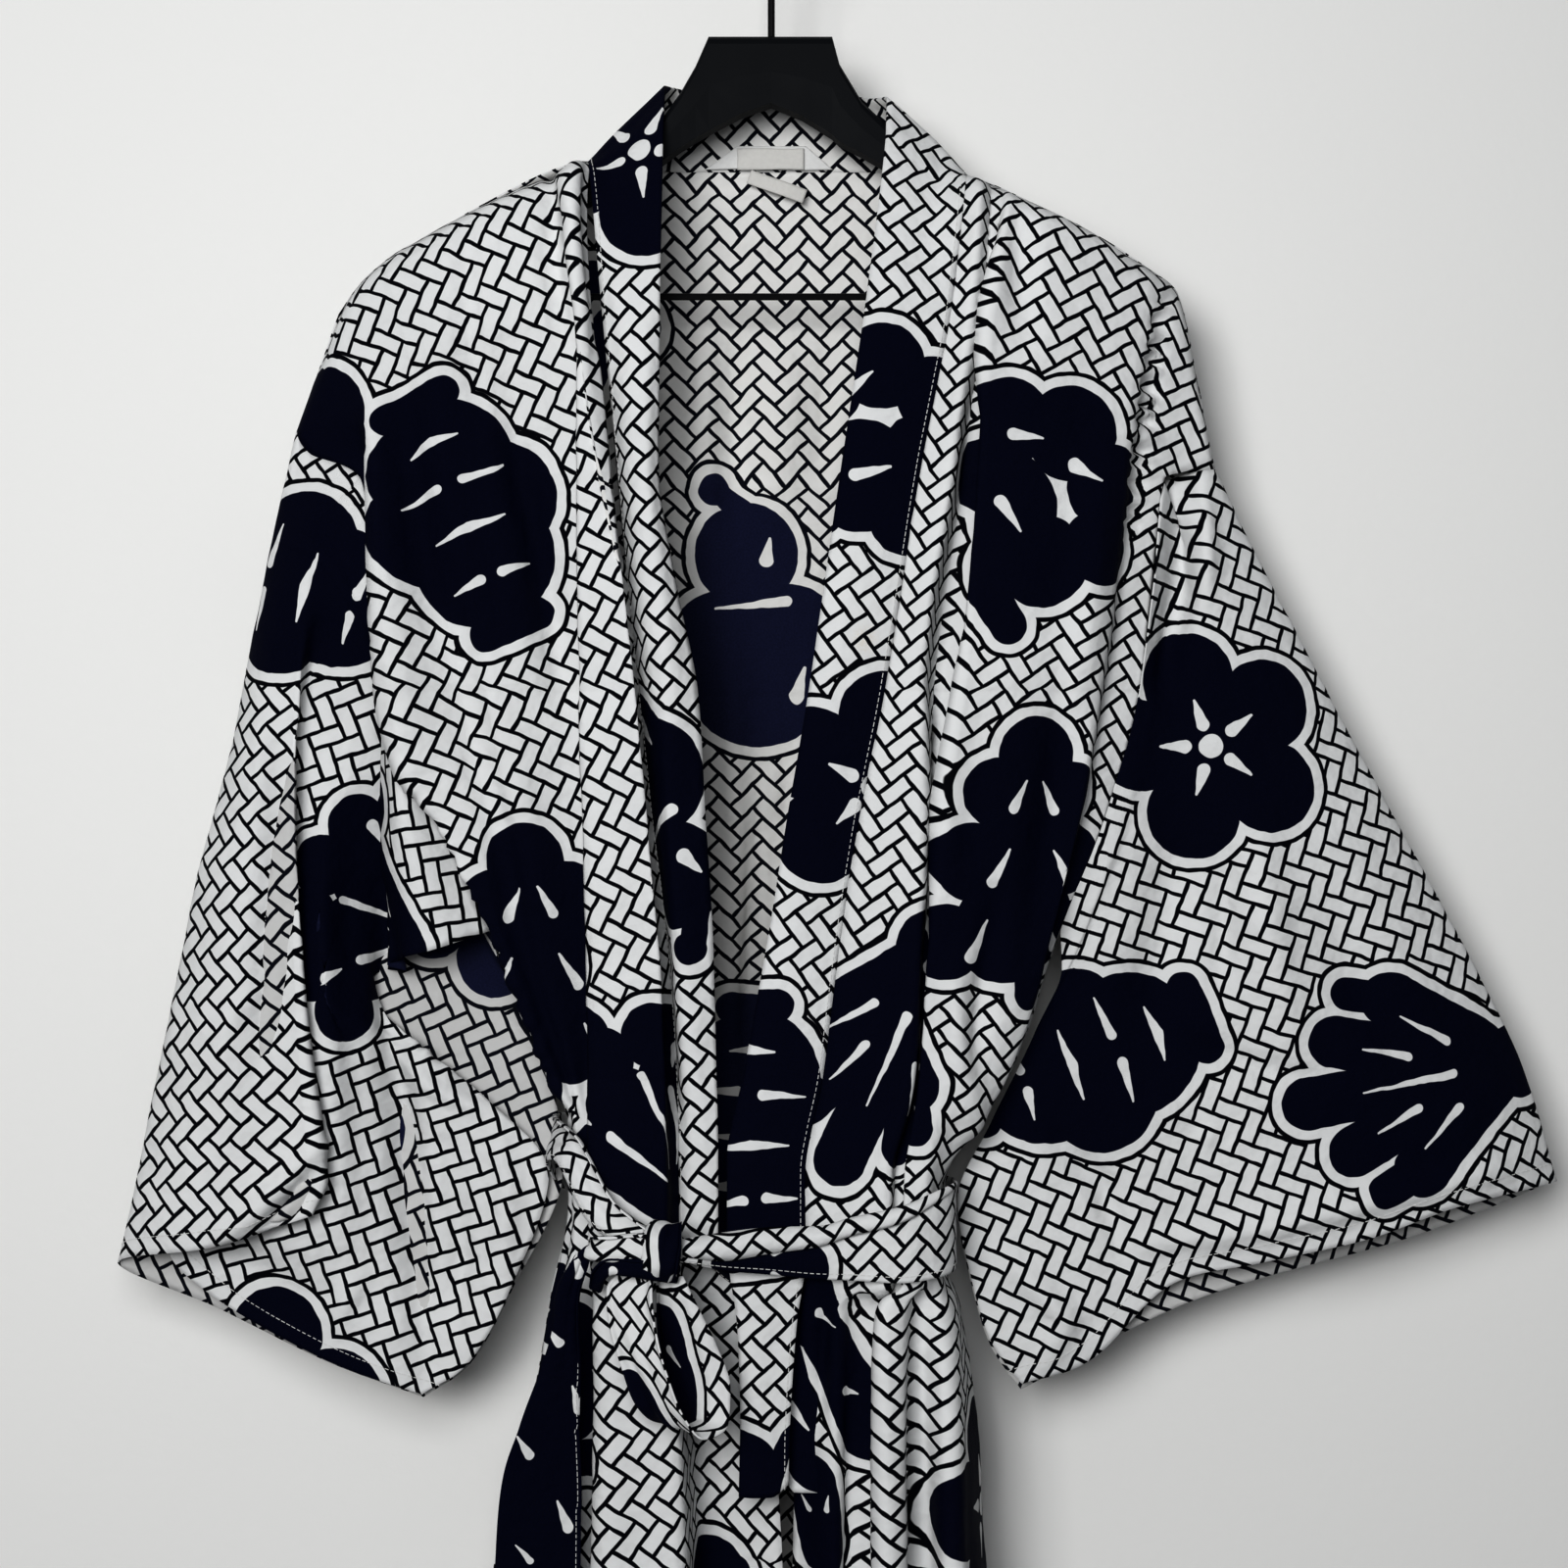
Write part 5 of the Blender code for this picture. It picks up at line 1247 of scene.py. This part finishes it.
def build_coat(finishes, rows, thread):
    """The coat's cut pieces, each in its cloth, with the seams that show."""
    front_left = body_control(FRONT_LEFT_FOLDS)
    front_right = body_control(FRONT_RIGHT_FOLDS)
    back = body_control(BACK_FOLDS)
    names = list(BACK_FOLDS)
    for column in range(names.index("nape_left"), names.index("nape_right") + 1):
        back[0, column, 1:] = NAPE_Y, NAPE_Z
        back[1, column, 1:] = NAPE_Y + 2, NAPE_Z - 12

    for name, control, pitch, turn, cut, creases in (
            ("front_left", front_left[:, ::-1], PITCH, FRONT_LEFT_TURN, FRONT_CUT,
             FRONT_LEFT_CREASES),
            ("front_right", front_right[:, ::-1], PITCH, 0.0, FRONT_CUT, FRONT_RIGHT_CREASES),
            ("back", back, BACK_PITCH, 0.0, BACK_CUT, BACK_CREASES)):
        points = fine_sheet(control, pitch)[0]
        flat = lay_flat(points, 0, turn)
        points = press_creases(points, creases)
        points = crumple(points, flat, CRUMPLE, len(name))
        piece = cloth_piece(name + "_cloth", [(points, flat)], finishes[name])
        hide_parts(name)

    for name, front, edge, tables, creases in (
            ("sleeve_left", front_left, 0, (SLEEVE_LEFT_FRONT, SLEEVE_LEFT_BACK),
             SLEEVE_LEFT_CREASES),
            ("sleeve_right", front_right, -1, (SLEEVE_RIGHT_FRONT, SLEEVE_RIGHT_BACK),
             SLEEVE_RIGHT_CREASES)):
        points, on_front = sleeve_sheet(front, back, edge, *tables)
        if name == "sleeve_right":
            points, on_front = points[:, ::-1], on_front[::-1]
        flat = lay_flat(points, 1)
        points = press_creases(points, creases, on_front)
        points = crumple(points, flat, CRUMPLE, len(name))
        piece = cloth_piece(name + "_cloth", [(points, flat)], finishes[name])
        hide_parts(name)
        cuff = side_line(points, CUFF_HEM, CLOTH, "foot")
        hem = topstitch(name + "_stitches", cuff, rows, thread)
        name.replace("sleeve", "front") + "_cloth"

    control = band_control(front_left, front_right, back, names.index("neck_left"))
    points = fine_sheet(control)[0]
    flat = lay_flat(points, 0, most_rows=200)
    points = crumple(points, flat, 0.5 * CRUMPLE, 3)
    piece = cloth_piece("neckband_cloth", [(points, flat)], finishes["neckband"], NECKBAND_CLOTH)
    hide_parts("neckband")
    edge = side_line(points, NECKBAND_SEAM, NECKBAND_CLOTH, "first")
    seam = topstitch("neckband_stitches", edge, rows, thread)


def tied_strip(path):
    """A strip of the belt along its table, from its upper edge fold to its foot, and its print."""
    table = np.array(list(path.values()), float)
    middle, width, fold, swell = table[:, :3], table[:, 3], table[:, 4], table[:, 5]
    turn, front = np.radians(table[:, 6]), np.radians(table[:, 7])
    across = np.stack([np.sin(turn) * np.cos(front), -np.sin(front),
                       -np.cos(turn) * np.cos(front)], -1)
    out = unit(np.cross(across, np.gradient(middle, axis=0)))
    hang = np.clip(fold / 8, 0, 1)
    # Each line of the strip: its place across it, as a part of the width, and its rise
    sections = [(-0.5 + fold / width, swell + 3.0 * hang),
                (-0.5 + 0.5 * fold / width, swell + 4.5 * hang),
                (-0.5 - 0.02 * hang, 1.5 * hang), (-0.46, -0.5 * hang), (-0.25, 0.75 * swell),
                (0.0, swell), (0.25, 0.75 * swell), (0.5, np.zeros(len(table)))]
    control = np.stack([middle + across * (place * width)[:, None] + out * rise[:, None]
                        for place, rise in sections], axis=1)
    points, rows, columns = fine_sheet(control, BELT_PITCH)
    height = np.interp(rows, np.arange(len(table)), table[:, 8])
    way = np.pi * columns / 7
    wander = rows[:, None] * 1.3
    gathers = np.sin(5.2 * way + np.sin(wander))
    gathers = gathers + 0.6 * np.sin(9.1 * way + 1.7 * np.sin(0.7 * wander + 1.0))
    points = points + normals(points) * (height[:, None] * gathers)[..., None]
    over = np.linalg.norm(np.diff(points, axis=1), axis=2)
    over = np.concatenate([np.zeros((len(points), 1)), np.cumsum(over, axis=1)], axis=1)
    over = (over - over[:, -1:] / 2) * (1 + 0.25 * height)[:, None]
    along = np.linalg.norm(np.diff(points, axis=0), axis=2).mean(axis=1)
    along = np.concatenate([[0.0], np.cumsum(along)])
    return points, np.stack([over, np.repeat(along[:, None], over.shape[1], axis=1)], axis=-1)


def build_belt(finish, rows, thread):
    """The belt's four parts, each of one or more strips with its place along the printed cloth."""
    for name, strips, held, cut, sewn in (
            ("belt_wrap", [(BELT_PATH, (0, 0))], "gathered", (0.046, 0.56), "last"),
            ("belt_knot", [(KNOT_WRAP, (0, 700)), (KNOT_PUFF, (0, 620)), (KNOT_FOLD, (0, 1060))],
             "gathered", (0.030, 0.13), None),
            ("belt_bow", [(BOW_PATH, (0, 806))], "gathered", (0.030, 0.22), None),
            ("belt_tail", [(TAIL_PATH, (0, 1020))], "hung", (0.036, 0.27), "first")):
        sheets = []
        for path, shift in strips:
            points, flat = tied_strip(path)
            sheets.append((points, flat + shift))
        piece = cloth_piece(name + "_cloth", sheets, [finish, finish], BELT_CLOTH)
        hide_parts(name)
        if sewn:
            edge = side_line(points, BELT_SEAM, BELT_CLOTH, sewn)
            topstitch(name + "_stitches", edge, rows, thread)


# ---------------------------------------------------------------- stage

WALL_COLOUR = (0.80, 0.797, 0.785, 1.0)
SKY_COLOUR = (0.95, 0.97, 1.0, 1.0)
SKY_STRENGTH = 0.17
# Each lamp's place and the place it faces in metres, its width and height, power and colour
LAMPS = {
    "window": ((-1.5, -4.2, 0.3), (0.0, 0.0, -0.5), 1.6, 1.6, 84.0, (1.0, 0.995, 0.985)),
    "room": ((-0.2, -1.5, -0.18), (0.0, 0.0, -0.5), 0.7, 0.7, 14.5, (0.98, 0.99, 1.0)),
}
SENSOR = 36.0
GAMMA = 0.75


def wall_finish():
    finish, start = new_finish("backdrop")
    grain = start.make("ShaderNodeTexCoord", {}, {}, 3).noise(140.0, 3.0, 0.6)
    fill_shader(start, WALL_COLOUR, 0.9, 0.5, 0.12, 1.0, grain)
    return finish


def build_stage():
    wall = bpy.data.meshes.new("backdrop")
    wall.from_pydata([(-4, WALL_Y, -4), (4, WALL_Y, -4), (4, WALL_Y, 3), (-4, WALL_Y, 3)], [],
                     [(0, 1, 2, 3)])
    wall.materials.append(wall_finish())
    add_object("backdrop", wall)


def area_light(name, place, aim, width, height, power, colour):
    """A rectangular lamp that faces `aim`."""
    light = bpy.data.lights.new(name, "AREA")
    light.shape = "RECTANGLE"
    light.size = width
    light.size_y = height
    light.energy = power
    light.color = colour
    lamp = add_object(name, light)
    lamp.location = place
    way = np.array(aim, float) - np.array(place, float)
    lamp.rotation_euler = (math.atan2(math.hypot(way[0], way[1]), -way[2]), 0.0,
                           math.atan2(-way[0], way[1]))


def light_and_camera():
    world = bpy.data.worlds.new("studio")
    bpy.context.scene.world = world
    world.use_nodes = True
    sky = world.node_tree.nodes["Background"]
    sky.inputs["Color"].default_value = SKY_COLOUR
    sky.inputs["Strength"].default_value = SKY_STRENGTH
    for name, setting in LAMPS.items():
        area_light(name, *setting)

    camera = bpy.data.cameras.new("camera")
    camera.sensor_width = SENSOR
    camera.lens = SENSOR * CAMERA_AWAY / VIEW_ACROSS
    camera.clip_start = 0.05
    holder = add_object("camera", camera)
    holder.location = (CAMERA_X * MM, -CAMERA_AWAY * MM, CAMERA_Z * MM)
    holder.rotation_euler = (math.pi / 2, 0.0, 0.0)
    bpy.context.scene.camera = holder


def main():
    """Finishes first, then the pieces on their solids, then the studio."""
    bpy.context.scene.view_settings.view_transform = "Standard"
    bpy.context.scene.view_settings.gamma = GAMMA
    finishes = {}
    for name, motifs in MOTIFS.items():
        group = print_group(name, motifs)
        # The sleeves' inside takes the greyer white, which is painted shade
        inside = SLEEVE_INSIDE_PAINTED_SHADE_COLOURS if name.startswith("sleeve") else INSIDE_PALER_PRINT_AND_PAINTED_LIGHT_COLOURS
        finishes[name] = [
            printed_cotton(name + "_outside", group, *OUTSIDE_COLOURS, STAINS.get(name)),
            printed_cotton(name + "_inside", group, *inside)]
    rows = stitch_rows()
    thread = woven_finish("sewing_thread", THREAD_COLOUR, 0.6, 0.4)
    build_coat(finishes, rows, thread)
    build_belt(finishes["belt"][0], rows, thread)
    build_labels()
    finish_hanger()
    build_stage()
    light_and_camera()


main()
